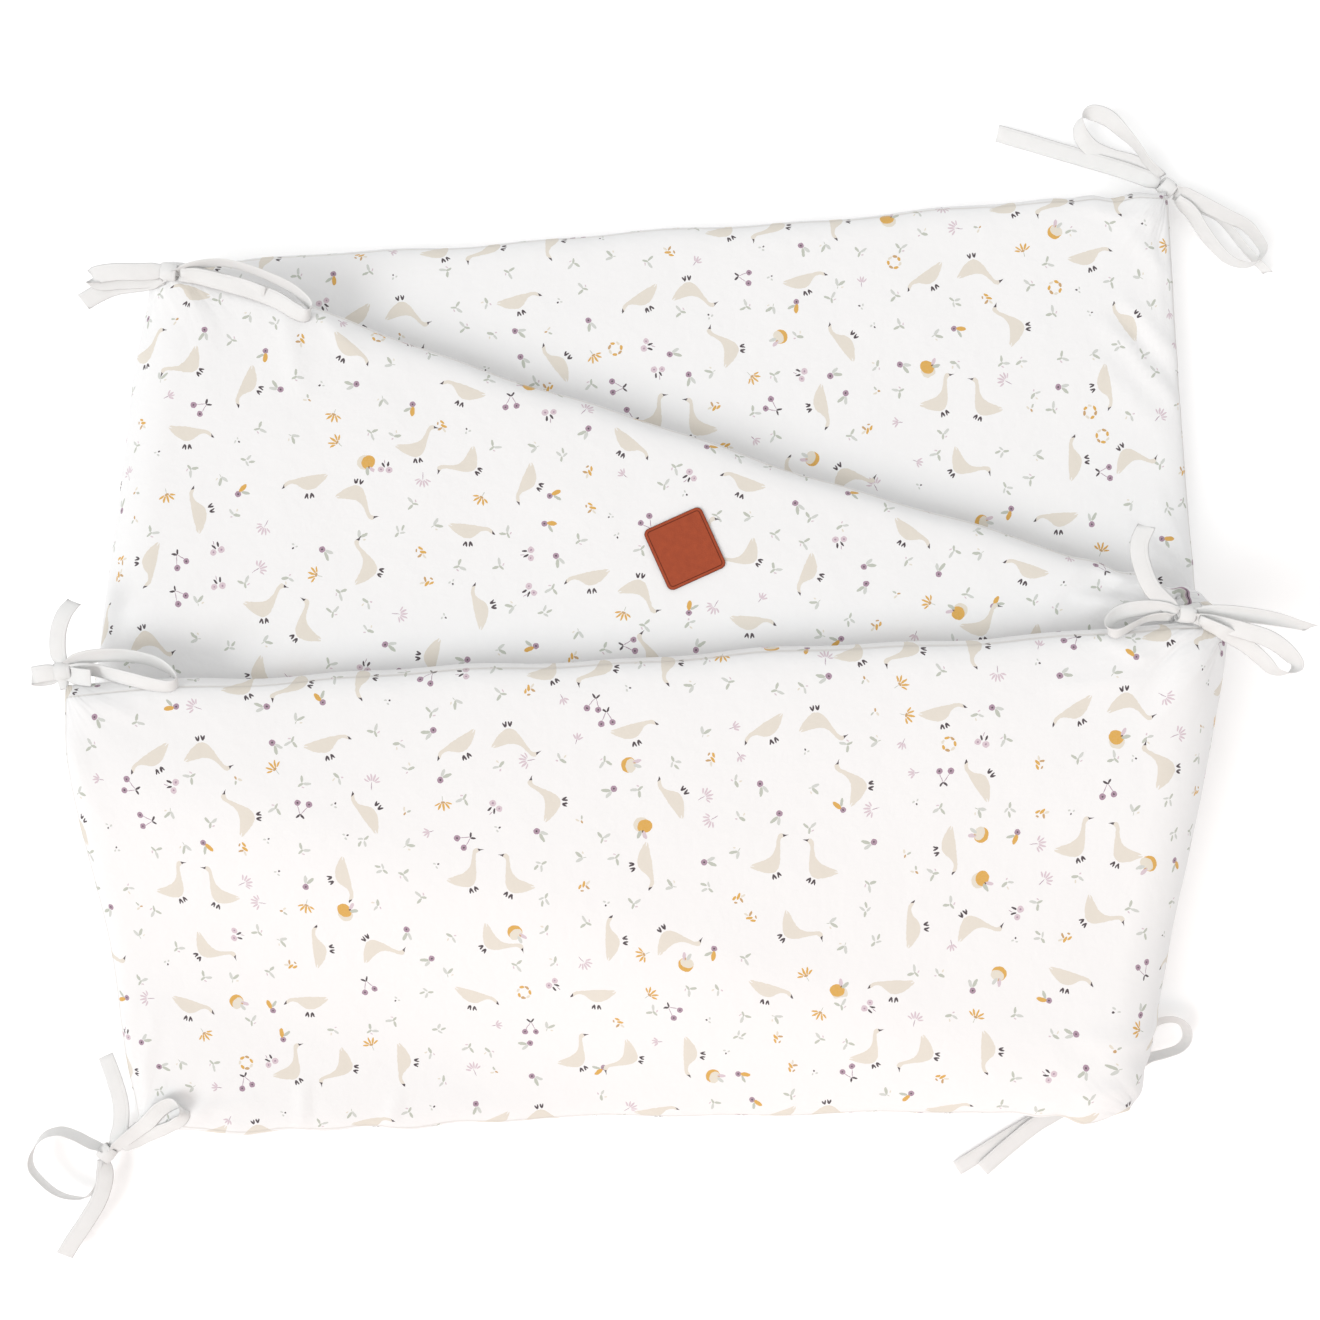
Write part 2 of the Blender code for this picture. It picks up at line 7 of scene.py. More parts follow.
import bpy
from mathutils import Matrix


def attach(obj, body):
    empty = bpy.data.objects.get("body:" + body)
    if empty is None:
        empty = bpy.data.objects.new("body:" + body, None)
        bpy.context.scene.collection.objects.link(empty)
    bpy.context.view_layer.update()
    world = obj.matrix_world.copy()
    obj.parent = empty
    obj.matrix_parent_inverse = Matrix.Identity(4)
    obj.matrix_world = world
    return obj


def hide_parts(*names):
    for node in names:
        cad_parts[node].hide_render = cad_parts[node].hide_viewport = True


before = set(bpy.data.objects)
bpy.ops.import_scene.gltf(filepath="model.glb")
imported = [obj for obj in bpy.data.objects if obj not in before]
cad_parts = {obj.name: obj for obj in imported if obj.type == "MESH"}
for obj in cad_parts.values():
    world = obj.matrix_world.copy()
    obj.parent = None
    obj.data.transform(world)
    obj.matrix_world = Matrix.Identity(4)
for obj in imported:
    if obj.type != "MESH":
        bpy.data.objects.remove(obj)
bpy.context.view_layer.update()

import math
from functools import partial

import bmesh
import bpy
import numpy as np
from mathutils import Matrix, Vector, noise
from mathutils.bvhtree import BVHTree

MM = 0.001
print("solids:", ", ".join(sorted(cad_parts)))

# %% [markdown]
# ## The measures of the strip
# A maker cuts two long rectangles of cotton, sews them together round the edge and fills them
# with wadding. Everything here is drawn on the flat strip first. u runs along it from the free
# end of the top layer, v runs across it, and h is the height above its middle. Folding comes
# last, so that the print and the wrinkles go round the folds with the cloth.

# %% Measures
STRIP_LENGTH = 2102 * MM
STRIP_WIDTH = 304 * MM
STRIP_THICKNESS = 34 * MM
LAYER_GAP = 3 * MM
EDGE_ROLL = 20 * MM
CROWN = 0.05
END_DRAW_IN = 2 * MM
TOP_HEADING = math.radians(3.3)
MIDDLE_HEADING = math.radians(160.4)
BOTTOM_HEADING = math.radians(4.1)
RIGHT_FOLD_START = 663 * MM
LEFT_FOLD_START = 1376 * MM
RIGHT_FOLD_TOP = (320 * MM, 23 * MM)
FOLD_RADIUS = (STRIP_THICKNESS + LAYER_GAP) / 2
FOLD_LENGTH = math.pi * FOLD_RADIUS
LAYER_STEP = 2 * FOLD_RADIUS
TOP_LAYER_MIDDLE = STRIP_THICKNESS / 2 + 2 * LAYER_STEP
MIDDLE_BEND = 21 * MM
LOWER_SWING = 9 * MM
DROP_PAST_BOTTOM = 260 * MM
DROP_PAST_MIDDLE = 155 * MM
CORNER_LIFT = 6 * MM
CORNER_LIFT_REACH = 85 * MM
LIFTED_CORNER = (300 * MM, -285 * MM)
CENTRE = (-6 * MM, -12.5 * MM)
RIGHT_APEX = RIGHT_FOLD_START + FOLD_LENGTH / 2
LEFT_APEX = LEFT_FOLD_START + FOLD_LENGTH / 2
HALF_WIDTH = STRIP_WIDTH / 2
print(f"strip {STRIP_LENGTH:.3f} x {STRIP_WIDTH:.3f} m, folds of radius {FOLD_RADIUS:.4f} m")

# %% [markdown]
# ## The camera
# The photograph is taken from straight above, with all of the bumper in a square frame. The
# camera looks down the Z axis, so it needs no turn. Its lens follows from how much the upper
# layer looks wider than the lower ones.

# %% Camera
CAMERA_HEIGHT = 1.083
LENS = 43.55
camera = bpy.data.objects.new("camera", bpy.data.cameras.new("camera"))
camera.data.lens = LENS
camera.data.sensor_width = 36.0
camera.location = (-CENTRE[0], -CENTRE[1], CAMERA_HEIGHT)
bpy.context.scene.collection.objects.link(camera)
bpy.context.scene.camera = camera
print("camera at", tuple(round(x, 4) for x in camera.location))

# %% [markdown]
# ## Folding
# Each fold turns the strip about a slanted axis. What lies before the axis stays, what lies on
# it rolls round a half circle, and what lies past it comes back underneath. A first fold at the
# right and a second at the left make the Z.


# %% Rolling round one fold
def direction(angle):
    return np.array((math.cos(angle), math.sin(angle)))


def smooth_step(x):
    x = np.clip(x, 0.0, 1.0)
    return x * x * (3 - 2 * x)


def fold(plan, origin, axis_angle, outward):
    """Splits a point into its place along a fold's axis and how far past the axis it is."""
    along = direction(axis_angle)
    past = outward * np.array((along[1], -along[0]))
    offset = plan - origin
    return offset @ along, offset @ past, along, past


def turn_under(along_by, past_by, along, past, origin, height, side):
    """Rolls what has gone past a fold's axis down and back under."""
    angle = np.clip(past_by / FOLD_RADIUS, 0.0, math.pi)
    flat_before = np.minimum(past_by, 0.0)
    flat_after = np.maximum(past_by - FOLD_LENGTH, 0.0)
    reach = flat_before - flat_after + (FOLD_RADIUS + side * height) * np.sin(angle)
    plan = origin + along_by[..., None] * along + reach[..., None] * past
    rise = (FOLD_RADIUS + side * height) * np.cos(angle) - FOLD_RADIUS
    return plan, rise, angle


RIGHT_FOLD_AXIS = (TOP_HEADING + MIDDLE_HEADING) / 2
LEFT_FOLD_AXIS = (MIDDLE_HEADING + BOTTOM_HEADING) / 2
RIGHT_SKEW = math.tan(TOP_HEADING + math.pi / 2 - RIGHT_FOLD_AXIS)
LEFT_SKEW = math.tan(LEFT_FOLD_AXIS - (2 * RIGHT_FOLD_AXIS - TOP_HEADING - math.pi / 2))
RIGHT_ORIGIN = np.array(RIGHT_FOLD_TOP)
TOP_ORIGIN = RIGHT_ORIGIN - direction(TOP_HEADING) * (RIGHT_FOLD_START + HALF_WIDTH * RIGHT_SKEW)
MIDDLE_LENGTH = LEFT_FOLD_START - RIGHT_FOLD_START - FOLD_LENGTH
LEFT_ORIGIN = RIGHT_ORIGIN + direction(MIDDLE_HEADING) * MIDDLE_LENGTH
print("fold axes at", np.degrees((RIGHT_FOLD_AXIS, LEFT_FOLD_AXIS)).round(2), "degrees")


# %% Both folds
def folded(u, v, h):
    """The folded strip before it sags: its plan, its height and how many layers lie under it."""
    across = direction(TOP_HEADING + math.pi / 2)
    from_top = v - HALF_WIDTH
    plan = TOP_ORIGIN + u[..., None] * direction(TOP_HEADING) + from_top[..., None] * across
    along_by, past_by, along, past = fold(plan, RIGHT_ORIGIN, RIGHT_FOLD_AXIS, 1)
    plan, rise, right_angle = turn_under(along_by, past_by, along, past, RIGHT_ORIGIN, h, 1)
    height = TOP_LAYER_MIDDLE + rise
    middle_plan = RIGHT_ORIGIN + along_by[..., None] * along
    middle_plan = middle_plan - np.maximum(past_by - FOLD_LENGTH, 0.0)[..., None] * past
    along_by, past_by, along, past = fold(middle_plan, LEFT_ORIGIN, LEFT_FOLD_AXIS, -1)
    left_plan, rise, left_angle = turn_under(along_by, past_by, along, past, LEFT_ORIGIN, h, -1)
    beyond = past_by > 0
    plan = np.where(beyond[..., None], left_plan, plan)
    height = np.where(beyond, TOP_LAYER_MIDDLE - LAYER_STEP + rise, height)
    layers = 2 - (1 - np.cos(right_angle)) / 2 - np.where(beyond, (1 - np.cos(left_angle)) / 2, 0)
    to_right = np.clip((LEFT_FOLD_START - u) / MIDDLE_LENGTH, 0, 1)
    bend = MIDDLE_BEND * to_right**2 * smooth_step(2 - layers)
    lower = np.clip(-v / STRIP_WIDTH + 0.5, 0, 1)
    swing = LOWER_SWING * lower * smooth_step(u / RIGHT_FOLD_START) * np.clip(layers - 1, 0, 1)
    plan = plan + bend[..., None] * direction(MIDDLE_HEADING - math.pi / 2)
    plan = plan - swing[..., None] * direction(RIGHT_FOLD_AXIS)
    return plan, height, layers


# %% [markdown]
# A layer hangs over the edge of the one below it and comes down gently, because wadding is
# springy. How far a point lies outside the lower layer's outline says how far it has come down.


# %% Sagging over the layers below
def footprint(start, end, overhang_start, overhang_end):
    """The four corners of a layer, seen from above, between two places along the strip."""
    corners = []
    for u, grow, side in ((start, overhang_start, 1), (end, overhang_end, 1),
                          (end, overhang_end, -1), (start, overhang_start, -1)):
        skew = RIGHT_SKEW if u < LEFT_FOLD_START - 0.1 else LEFT_SKEW
        skew = 0.0 if u in (0.0, STRIP_LENGTH) else skew
        across = side * HALF_WIDTH
        here = np.array([u + across * skew])
        plan, _, _ = folded(here, np.array([across]), np.array([0.0]))
        ahead, _, _ = folded(here + grow / 100, np.array([across]), np.array([0.0]))
        outward = (ahead - plan)[0]
        length = np.linalg.norm(outward)
        corners.append(plan[0] + (outward / length * abs(grow) if length else 0))
    return corners


def distance_outside(plan, corners):
    """How far each point lies outside a convex outline, and 0 inside it."""
    far = np.full(plan.shape[:-1], -1.0)
    centre = sum(corners) / len(corners)
    for first, second in zip(corners, corners[1:] + corners[:1]):
        edge = (second - first) / np.linalg.norm(second - first)
        normal = np.array((edge[1], -edge[0]))
        normal = normal if (centre - first) @ normal < 0 else -normal
        far = np.maximum(far, (plan - first) @ normal)
    return np.maximum(far, 0.0)


FOLD_REACH = FOLD_RADIUS + STRIP_THICKNESS / 2
MIDDLE_FOOTPRINT = footprint(
    RIGHT_FOLD_START + FOLD_LENGTH, LEFT_FOLD_START, -FOLD_REACH, FOLD_REACH
)
BOTTOM_FOOTPRINT = footprint(LEFT_FOLD_START + FOLD_LENGTH, STRIP_LENGTH, -FOLD_REACH, 0.0)


def place(u, v, h):
    """Where a point of the flat strip lies once it is folded and has sagged."""
    plan, height, layers = folded(u, v, h)
    past_bottom = distance_outside(plan, BOTTOM_FOOTPRINT) / DROP_PAST_BOTTOM
    past_middle = distance_outside(plan, MIDDLE_FOOTPRINT) / DROP_PAST_MIDDLE
    sag = np.clip(layers, 0, 1) * smooth_step(past_bottom)
    sag = sag + np.clip(layers - 1, 0, 1) * smooth_step(past_middle)
    height = height - LAYER_STEP * sag
    from_corner = np.linalg.norm(plan - np.array(LIFTED_CORNER), axis=-1)
    height = height + CORNER_LIFT * np.exp(-((from_corner / CORNER_LIFT_REACH) ** 2))
    plan = plan - np.array(CENTRE)
    return np.concatenate([plan, np.maximum(height, 0.0)[..., None]], axis=-1)


print("middle layer's corners:", [tuple(np.round(c, 3)) for c in MIDDLE_FOOTPRINT])

# %% [markdown]
# ## Sewing the two sides
# Two flat grids, one for each side of the strip, share the points of the seam round the edge.
# Their rows lean where the folds will be, so that each row runs along its fold. Rows stand
# close together round the folds and near the seams, where the cloth bends most.

# %% The flat strip
ROWS = 330
COLUMNS = 38
ROWS_AT_A_FOLD = 2.2
FOLD_ROWS_REACH = 70 * MM
ROWS_AT_AN_END = 1.5
END_ROWS_REACH = 15 * MM
EVEN_COLUMNS = 0.55


def skew_at(s):
    """How much a row across the strip leans, so that rows run along the folds."""
    stations = (0, RIGHT_FOLD_START, RIGHT_FOLD_START + FOLD_LENGTH, LEFT_FOLD_START,
                LEFT_FOLD_START + FOLD_LENGTH, STRIP_LENGTH)
    leans = (0, RIGHT_SKEW, RIGHT_SKEW, LEFT_SKEW, LEFT_SKEW, 0)
    return np.interp(s, stations, leans)


def row_places(share):
    """Turns an even share of the length into a place along the strip, closer where it bends."""
    s = np.linspace(0, STRIP_LENGTH, 2000)
    dense = np.ones_like(s)
    for apex in (RIGHT_APEX, LEFT_APEX):
        dense += ROWS_AT_A_FOLD * np.exp(-(((s - apex) / FOLD_ROWS_REACH) ** 2))
    dense += ROWS_AT_AN_END * np.exp(-np.minimum(s, STRIP_LENGTH - s) / END_ROWS_REACH)
    total = np.concatenate([[0], np.cumsum((dense[1:] + dense[:-1]) / 2)])
    return np.interp(share, total / total[-1], s)


def column_places(share):
    """Turns -1 to 1 into a place across the strip, closer near both seams."""
    crowded = np.sin(math.pi / 2 * share)
    return HALF_WIDTH * (EVEN_COLUMNS * share + (1 - EVEN_COLUMNS) * crowded)


def new_object(name, made_of):
    """An object of that name, made of a bmesh and put in the scene."""
    made = bpy.data.objects.new(name, bpy.data.meshes.new(name))
    made_of.to_mesh(made.data)
    made_of.free()
    bpy.context.scene.collection.objects.link(made)
    return made


def lay_print(layer, faces, where):
    """Writes on each corner of the faces where it is on the cloth."""
    for face in faces:
        for loop in face.loops:
            loop[layer].uv = where(loop.vert)


def coordinates(mesh):
    """The points of a mesh, one row for each."""
    flat = np.empty(len(mesh.vertices) * 3, np.float32)
    mesh.vertices.foreach_get("co", flat)
    return flat.reshape(-1, 3).astype(float)


def roll(distance):
    """How full the strip is that far in from the seam, from 0 to 1."""
    near = 1 - np.clip(distance / EDGE_ROLL, 0.0, 1.0)
    return np.sqrt(1 - near**2)


def half_thickness(u, v):
    """Half of the strip's thickness: round at the seams and a little crowned."""
    full = roll(HALF_WIDTH - np.abs(v)) * roll(np.minimum(u, STRIP_LENGTH - u))
    return STRIP_THICKNESS / 2 * full * (1 - CROWN * np.abs(v / HALF_WIDTH) ** 2)


def over_edge(distance):
    """The way over the rounded edge, from that far in from the seam to the end of the roll."""
    d = np.linspace(0, EDGE_ROLL, 80)
    steps = np.hypot(np.diff(d), np.diff(STRIP_THICKNESS / 2 * roll(d)))
    left = np.concatenate([np.cumsum(steps[::-1])[::-1], [0.0]])
    return np.interp(distance, d, left)


def print_place(u, v, face):
    """Where a point of the strip is on its printed cloth, which goes round edges and folds."""
    row = u - v * skew_at(u)
    right, left = (math.pi * np.clip((row - start) / FOLD_LENGTH, 0.0, 1.0)
                   for start in (RIGHT_FOLD_START, LEFT_FOLD_START))
    from_end = STRIP_LENGTH - u
    along = np.clip(u, EDGE_ROLL, STRIP_LENGTH - EDGE_ROLL) - over_edge(u) + over_edge(from_end)
    along += face * STRIP_THICKNESS / 2 * (right - left)
    from_seam = HALF_WIDTH - np.abs(v)
    across = np.sign(v) * (HALF_WIDTH - np.maximum(from_seam, EDGE_ROLL) + over_edge(from_seam))
    return along, across


FILL_AT_SEWING = 0.86
BACK_PRINT_SHIFT = (0.173, 0.061)
SHARE_PLACES = 6  # decimal places, so that both ends come out exactly at one
SEWN_WITHIN = 0.01 * MM


def back_print_place(u, v):
    """The same for the back, whose print is turned over and starts elsewhere."""
    along, across = print_place(u, v, -1)
    return BACK_PRINT_SHIFT[0] - along, across + BACK_PRINT_SHIFT[1]


def sewn_strip():
    """Two grids of cloth, one over the other, joined round the edge."""
    sewn = bmesh.new()
    cloth = sewn.loops.layers.uv.new("cloth")
    bmesh.ops.create_grid(sewn, x_segments=ROWS, y_segments=COLUMNS, size=1.0)
    share = np.round([v.co[:2] for v in sewn.verts], SHARE_PLACES)
    s = row_places((share[:, 0] + 1) / 2)
    across = column_places(share[:, 1])
    along = s + across * skew_at(s)
    height = half_thickness(s, across) * FILL_AT_SEWING
    for vertex, point in zip(sewn.verts, np.stack([along, across, height], axis=1)):
        vertex.co = point
    lay_print(cloth, sewn.faces, lambda vertex: print_place(*vertex.co[:2], 1))
    back = bmesh.ops.duplicate(sewn, geom=sewn.verts[:] + sewn.edges[:] + sewn.faces[:])["geom"]
    back_faces = [g for g in back if isinstance(g, bmesh.types.BMFace)]
    for vertex in (g for g in back if isinstance(g, bmesh.types.BMVert)):
        vertex.co.z = -vertex.co.z
    bmesh.ops.reverse_faces(sewn, faces=back_faces)
    lay_print(cloth, back_faces, lambda vertex: back_print_place(*vertex.co[:2]))
    bmesh.ops.remove_doubles(sewn, verts=sewn.verts, dist=SEWN_WITHIN)
    print("edges left unsewn:", sum(edge.is_boundary for edge in sewn.edges))
    return sewn


strip = new_object("padded_strip", sewn_strip())
print("sewn strip:", len(strip.data.polygons), "faces")

# %% [markdown]
# ## Filling it
# Wadding pushes the two sides apart and the seam holds them together, so the seam draws in and
# the cloth puckers along it. A cloth simulation with pressure does this. The seam is given a
# little shrinkage, as sewing thread gives it, and no point may move further than a cap.

# %% Pressure
FRAMES = 20
CLOTH = {
    "quality": 4, "mass": 0.12, "tension_stiffness": 12, "compression_stiffness": 12,
    "shear_stiffness": 4, "bending_stiffness": 0.2, "use_pressure": True,
    "uniform_pressure_force": 5.0, "shrink_min": 0.0, "shrink_max": 0.045,
    "vertex_group_shrink": "seam",
}
SEAM_SHARE = 0.4  # of the thickness: lower points than this lie on the seam
MOST_MOVE = 6 * MM
MOST_SWELL = 1.4 * MM
FLATTENING = 1.25
AT_THE_SEAM = 0.1 * MM


def pumped(piece):
    """Runs the cloth with pressure and returns where its points come to lie."""
    at_rest = coordinates(piece.data)
    group = piece.vertex_groups.new(name="seam")
    low = SEAM_SHARE * STRIP_THICKNESS * FILL_AT_SEWING
    on_seam = np.nonzero(np.abs(at_rest[:, 2]) < low)[0]
    group.add([int(i) for i in on_seam], 1.0, "REPLACE")
    cloth = piece.modifiers.new("filling", "CLOTH")
    for setting, value in CLOTH.items():
        setattr(cloth.settings, setting, value)
    cloth.settings.effector_weights.gravity = 0
    cloth.collision_settings.use_collision = False
    cloth.point_cache.frame_start = 1
    cloth.point_cache.frame_end = FRAMES
    for step in range(1, FRAMES + 1):
        bpy.context.scene.frame_set(step)
    evaluated = piece.evaluated_get(bpy.context.evaluated_depsgraph_get())
    moved = coordinates(evaluated.data)
    piece.modifiers.remove(cloth)
    piece.vertex_groups.remove(group)
    bpy.context.scene.frame_set(1)
    return at_rest, moved


def capped(at_rest, moved):
    """Holds each point within the cap of where it started, and the swell within the strip's."""
    move = moved - at_rest
    far = np.linalg.norm(move, axis=1, keepdims=True)
    move = move * np.minimum(1.0, MOST_MOVE / np.maximum(far, 1e-9))
    held = at_rest + move
    most = STRIP_THICKNESS / 2 + MOST_SWELL
    held[:, 2] = most * np.tanh(held[:, 2] / most * FLATTENING) / math.tanh(FLATTENING)
    return held


def stretched_back(at_rest, held):
    """Takes up the width and length that filling draws in, so that the strip keeps its size."""
    sides = np.abs(at_rest[:, 1]) > HALF_WIDTH - AT_THE_SEAM
    width = np.abs(held[sides, 1]).mean()
    starts = at_rest[:, 0] < AT_THE_SEAM
    ends = at_rest[:, 0] > STRIP_LENGTH - AT_THE_SEAM
    first, last = held[starts, 0].mean(), held[ends, 0].mean()
    held[:, 1] *= HALF_WIDTH / width
    held[:, 0] = (held[:, 0] - first) * STRIP_LENGTH / (last - first)
    drawn = HALF_WIDTH - width
    print(f"drawn in by {drawn * 1000:.2f} mm a side, {first * 1000:.2f} mm an end")
    return held


rest_points, moved_points = pumped(strip)
filled = stretched_back(rest_points, capped(rest_points, moved_points))
strip.data.vertices.foreach_set("co", filled.astype(np.float32).ravel())
strip.data.update()
move = np.linalg.norm(filled - rest_points, axis=1).mean()
print(f"filled: mean move {move * 1000:.2f} mm")

# %% [markdown]
# One level of subdivision rounds what the simulation left. It is applied at once, because the
# folding that follows moves the points themselves.

# %% Subdivision
smooth = strip.modifiers.new("smooth", "SUBSURF")
smooth.levels = 1
smooth.render_levels = 1
smooth.uv_smooth = "NONE"
rounded = strip.evaluated_get(bpy.context.evaluated_depsgraph_get())
finer = bpy.data.meshes.new_from_object(rounded)
strip.modifiers.remove(smooth)
strip.data = finer
strip.data.name = "padded_strip"
print("subdivided:", len(strip.data.polygons), "faces")

# %% [markdown]
# ## Wrinkles
# Sewing pulls the cloth into small puckers along each seam. Each tie pulls its corner, so
# gathers fan out from it. Single creases lie where the cloth was pressed. The wadding is lumpy,
# so broad soft waves run over the whole. These are added to the flat strip as heights, before
# it is folded.

# %% Wrinkles
TIE_PULLS = (
    # along, edge, height of the gathers, their reach, their number round the corner
    (0.0, 1, 0.9, 45, 9),
    (0.0, -1, 1.3, 45, 10),
    (RIGHT_APEX, 1, 2.4, 60, 13),
    (RIGHT_APEX, -1, 1.0, 40, 12),
    (LEFT_APEX, 1, 1.6, 60, 10),
    (LEFT_APEX, -1, 1.6, 60, 10),
    (STRIP_LENGTH, 1, 1.4, 50, 8),
    (STRIP_LENGTH, -1, 1.4, 60, 9),
)
FAN_START = 8 * MM
GATHERS_BEGIN = 12 * MM
GATHER_WANDER = 2.2
GATHER_WANDER_LENGTH = 35
BACK_GATHERS_APART = 1.3
HARDEST_PULL = 2.6
PUCKER_HEIGHT = 0.7 * MM
PUCKER_REACH = 14 * MM
PUCKER_LENGTH = 9
PUCKER_STRETCH = 0.4  # less change across the seam than along it
WRINKLES_BEGIN = 5 * MM  # inside the seam
WAVES = (
    # length and height of soft waves, in millimetres
    (150, 1.1),
    (60, 0.65),
    (24, 0.22),
)


def noise_over(x, y, length, seed):
    """Smooth noise over the flat cloth, about -1 to 1, with features of that length."""
    scale = 1 / (length * MM)
    return np.array([noise.noise((a * scale, b * scale, seed)) for a, b in zip(x, y)])


def round_tie(along, edge, u, v):
    """How far each point is from a tie's seat, and its turn round it."""
    du = u - (along + edge * HALF_WIDTH * skew_at(along))
    dv = (edge * HALF_WIDTH - v) * edge
    return np.hypot(du, dv), np.arctan2(du, dv + FAN_START)


def gathers(u, v, face):
    """The fans of small folds that run out from each tie."""
    total = np.zeros_like(u)
    for number, (along, edge, height, reach, count) in enumerate(TIE_PULLS):
        far, fan = round_tie(along, edge, u, v)
        near = far < 4 * reach * MM
        wander = np.zeros_like(u)
        wander[near] = noise_over(u[near], v[near], GATHER_WANDER_LENGTH, number + 10.5)
        wave = np.sin(count * fan + GATHER_WANDER * wander + face * BACK_GATHERS_APART + number)
        rising = np.minimum(far / GATHERS_BEGIN, 1)
        total += height * MM * wave * np.exp(-far / (reach * MM)) * rising
    return total


def fans(u, v):
    """For fine gathers: the turn round the nearest tie, the way to it and how hard it pulls."""
    nearest = np.full_like(u, 10.0)
    fan, far, pull = np.zeros_like(u), np.zeros_like(u), np.zeros_like(u)
    for number, (along, edge, height, reach, _) in enumerate(TIE_PULLS):
        away, turn = round_tie(along, edge, u, v)
        here = away < nearest
        nearest = np.where(here, away, nearest)
        fan = np.where(here, turn + 3 * number, fan)
        far = np.where(here, away, far)
        hard = height / HARDEST_PULL * np.exp(-((away / (reach * MM)) ** 2))
        pull = np.where(here, hard, pull)
    return fan, far, pull


CREASES = (
    # from u and v to u and v, height and half width, in millimetres; and the side of the cloth
    (2050, 64, 2097, 4, 2.6, 4.5, 1), (2062, 82, 2098, 38, 2.2, 4, 1),
    (2054, 74, 2097, 22, -1.8, 4, 1), (2040, 40, 2082, -8, 1.6, 7, 1),
    (2060, 136, 2099, 84, 1.5, 5, 1), (2030, 146, 2096, 128, 1.2, 4, 1),
    (2088, 146, 2093, 60, -1.0, 3, 1), (2096, -112, 2056, -72, 2.4, 4, 1),
    (2099, -100, 2076, -52, 2.0, 4, 1), (2090, -128, 2040, -104, 2.2, 4, 1),
    (2096, -106, 2062, -66, -2.0, 3, 1),
    (742, 141, 800, 143, 4.2, 3.5, -1), (744, 131, 806, 122, 4.8, 4.0, -1),
    (742, 116, 792, 92, 4.2, 5, -1), (746, 136, 796, 132, -3.6, 3.0, -1),
    (746, 123, 790, 107, -3.8, 3.4, -1), (782, 148, 800, 114, 2.8, 4, -1),
    (808, 146, 828, 116, 2.2, 5, -1), (738, 120, 772, 80, 3.2, 5, -1),
    (672, 130, 640, 146, 1.6, 4, 1), (676, 120, 610, 118, 1.4, 6, 1),
    (668, -118, 600, -140, 2.0, 5, 1), (676, -104, 622, -96, 1.8, 6, 1),
    (690, -128, 640, -122, -1.6, 4, 1), (40, -148, 70, -112, 1.6, 5, 1),
    (14, -120, 30, -60, 1.4, 5, 1), (20, -138, 90, -128, 1.8, 5, 1),
    (118, -148, 124, -118, 2.4, 3.5, 1), (176, -148, 186, -124, 2.2, 3.5, 1),
    (1330, 150, 1290, 130, 1.6, 5, -1), (1344, 138, 1316, 96, 1.4, 6, -1),
    (10, 146, 60, 128, 1.6, 5, 1), (8, 120, 24, 60, 1.2, 6, 1),
)
CREASE_WANDER = 2.6
CREASE_WANDER_LENGTH = 22
BLUNT_END = 0.06  # of a half turn: a crease starts and stops a little short of nothing


def creases(u, v, face):
    """Single soft folds, each along a line, where a tie or the packing pressed the cloth."""
    here = np.stack([u, v], axis=1) / MM
    here[:, 0] += CREASE_WANDER * noise_over(u, v, CREASE_WANDER_LENGTH, 5.1)
    here[:, 1] += CREASE_WANDER * noise_over(u, v, CREASE_WANDER_LENGTH, 6.1)
    total = np.zeros_like(u)
    for u_from, v_from, u_to, v_to, height, width, side in CREASES:
        start, run = np.array((u_from, v_from)), np.array((u_to - u_from, v_to - v_from))
        share = np.clip((here - start) @ run / (run @ run), 0, 1)
        off = np.linalg.norm(here - start - share[:, None] * run, axis=1)
        tapered = np.sqrt(np.sin(math.pi * (BLUNT_END + (1 - 2 * BLUNT_END) * share)))
        total += np.where(face == side, height * MM * tapered * np.exp(-((off / width) ** 2)), 0)
    return total


def inside_seam(u, v):
    """How far inside the seam round the edge a point lies."""
    return np.minimum(HALF_WIDTH - np.abs(v), np.minimum(u, STRIP_LENGTH - u))


def wrinkled(u, v, h):
    """The height of the cloth with its puckers, gathers, creases and waves."""
    face = np.where(h >= 0, 1.0, -1.0)
    from_seam = np.maximum(inside_seam(u, v), 0.0)
    inside = smooth_step(from_seam / WRINKLES_BEGIN)
    pucker = noise_over(u, v * PUCKER_STRETCH, PUCKER_LENGTH, 3.3)
    pucker = pucker * PUCKER_HEIGHT * np.exp(-from_seam / PUCKER_REACH)
    soft = sum(noise_over(u, v, length, face[0] + k) * height * MM
               for k, (length, height) in enumerate(WAVES))
    return h + face * (pucker + soft + gathers(u, v, face) + creases(u, v, face)) * inside


flat = coordinates(strip.data)
heights = wrinkled(flat[:, 0], flat[:, 1], flat[:, 2])
added = (heights - flat[:, 2]) / MM
print(f"wrinkles from {added.min():.2f} to {added.max():.2f} mm")


# %% [markdown]
# ## Folding the filled strip
# The free ends bow in a little between their corners and the edges wander by a millimetre. Then
# every point goes to its place in the folded stack.

# %% The fold itself
PUFFS = (
    # where the edge is drawn into puffs: along, edge, their size, length and reach, in mm
    (762, 1, 2.6, 34, 42),
    (636, -1, 2.2, 30, 45),
    (150, -1, 1.6, 58, 110),
    (2070, 1, 1.4, 30, 40),
)
EDGE_WANDER = 1.1
LONG_WAVE = 29.0  # radians in each metre
SHORT_WAVE = 71.0
SHORT_WAVE_SHARE = 0.6
END_PULL_REACH = 30 * MM


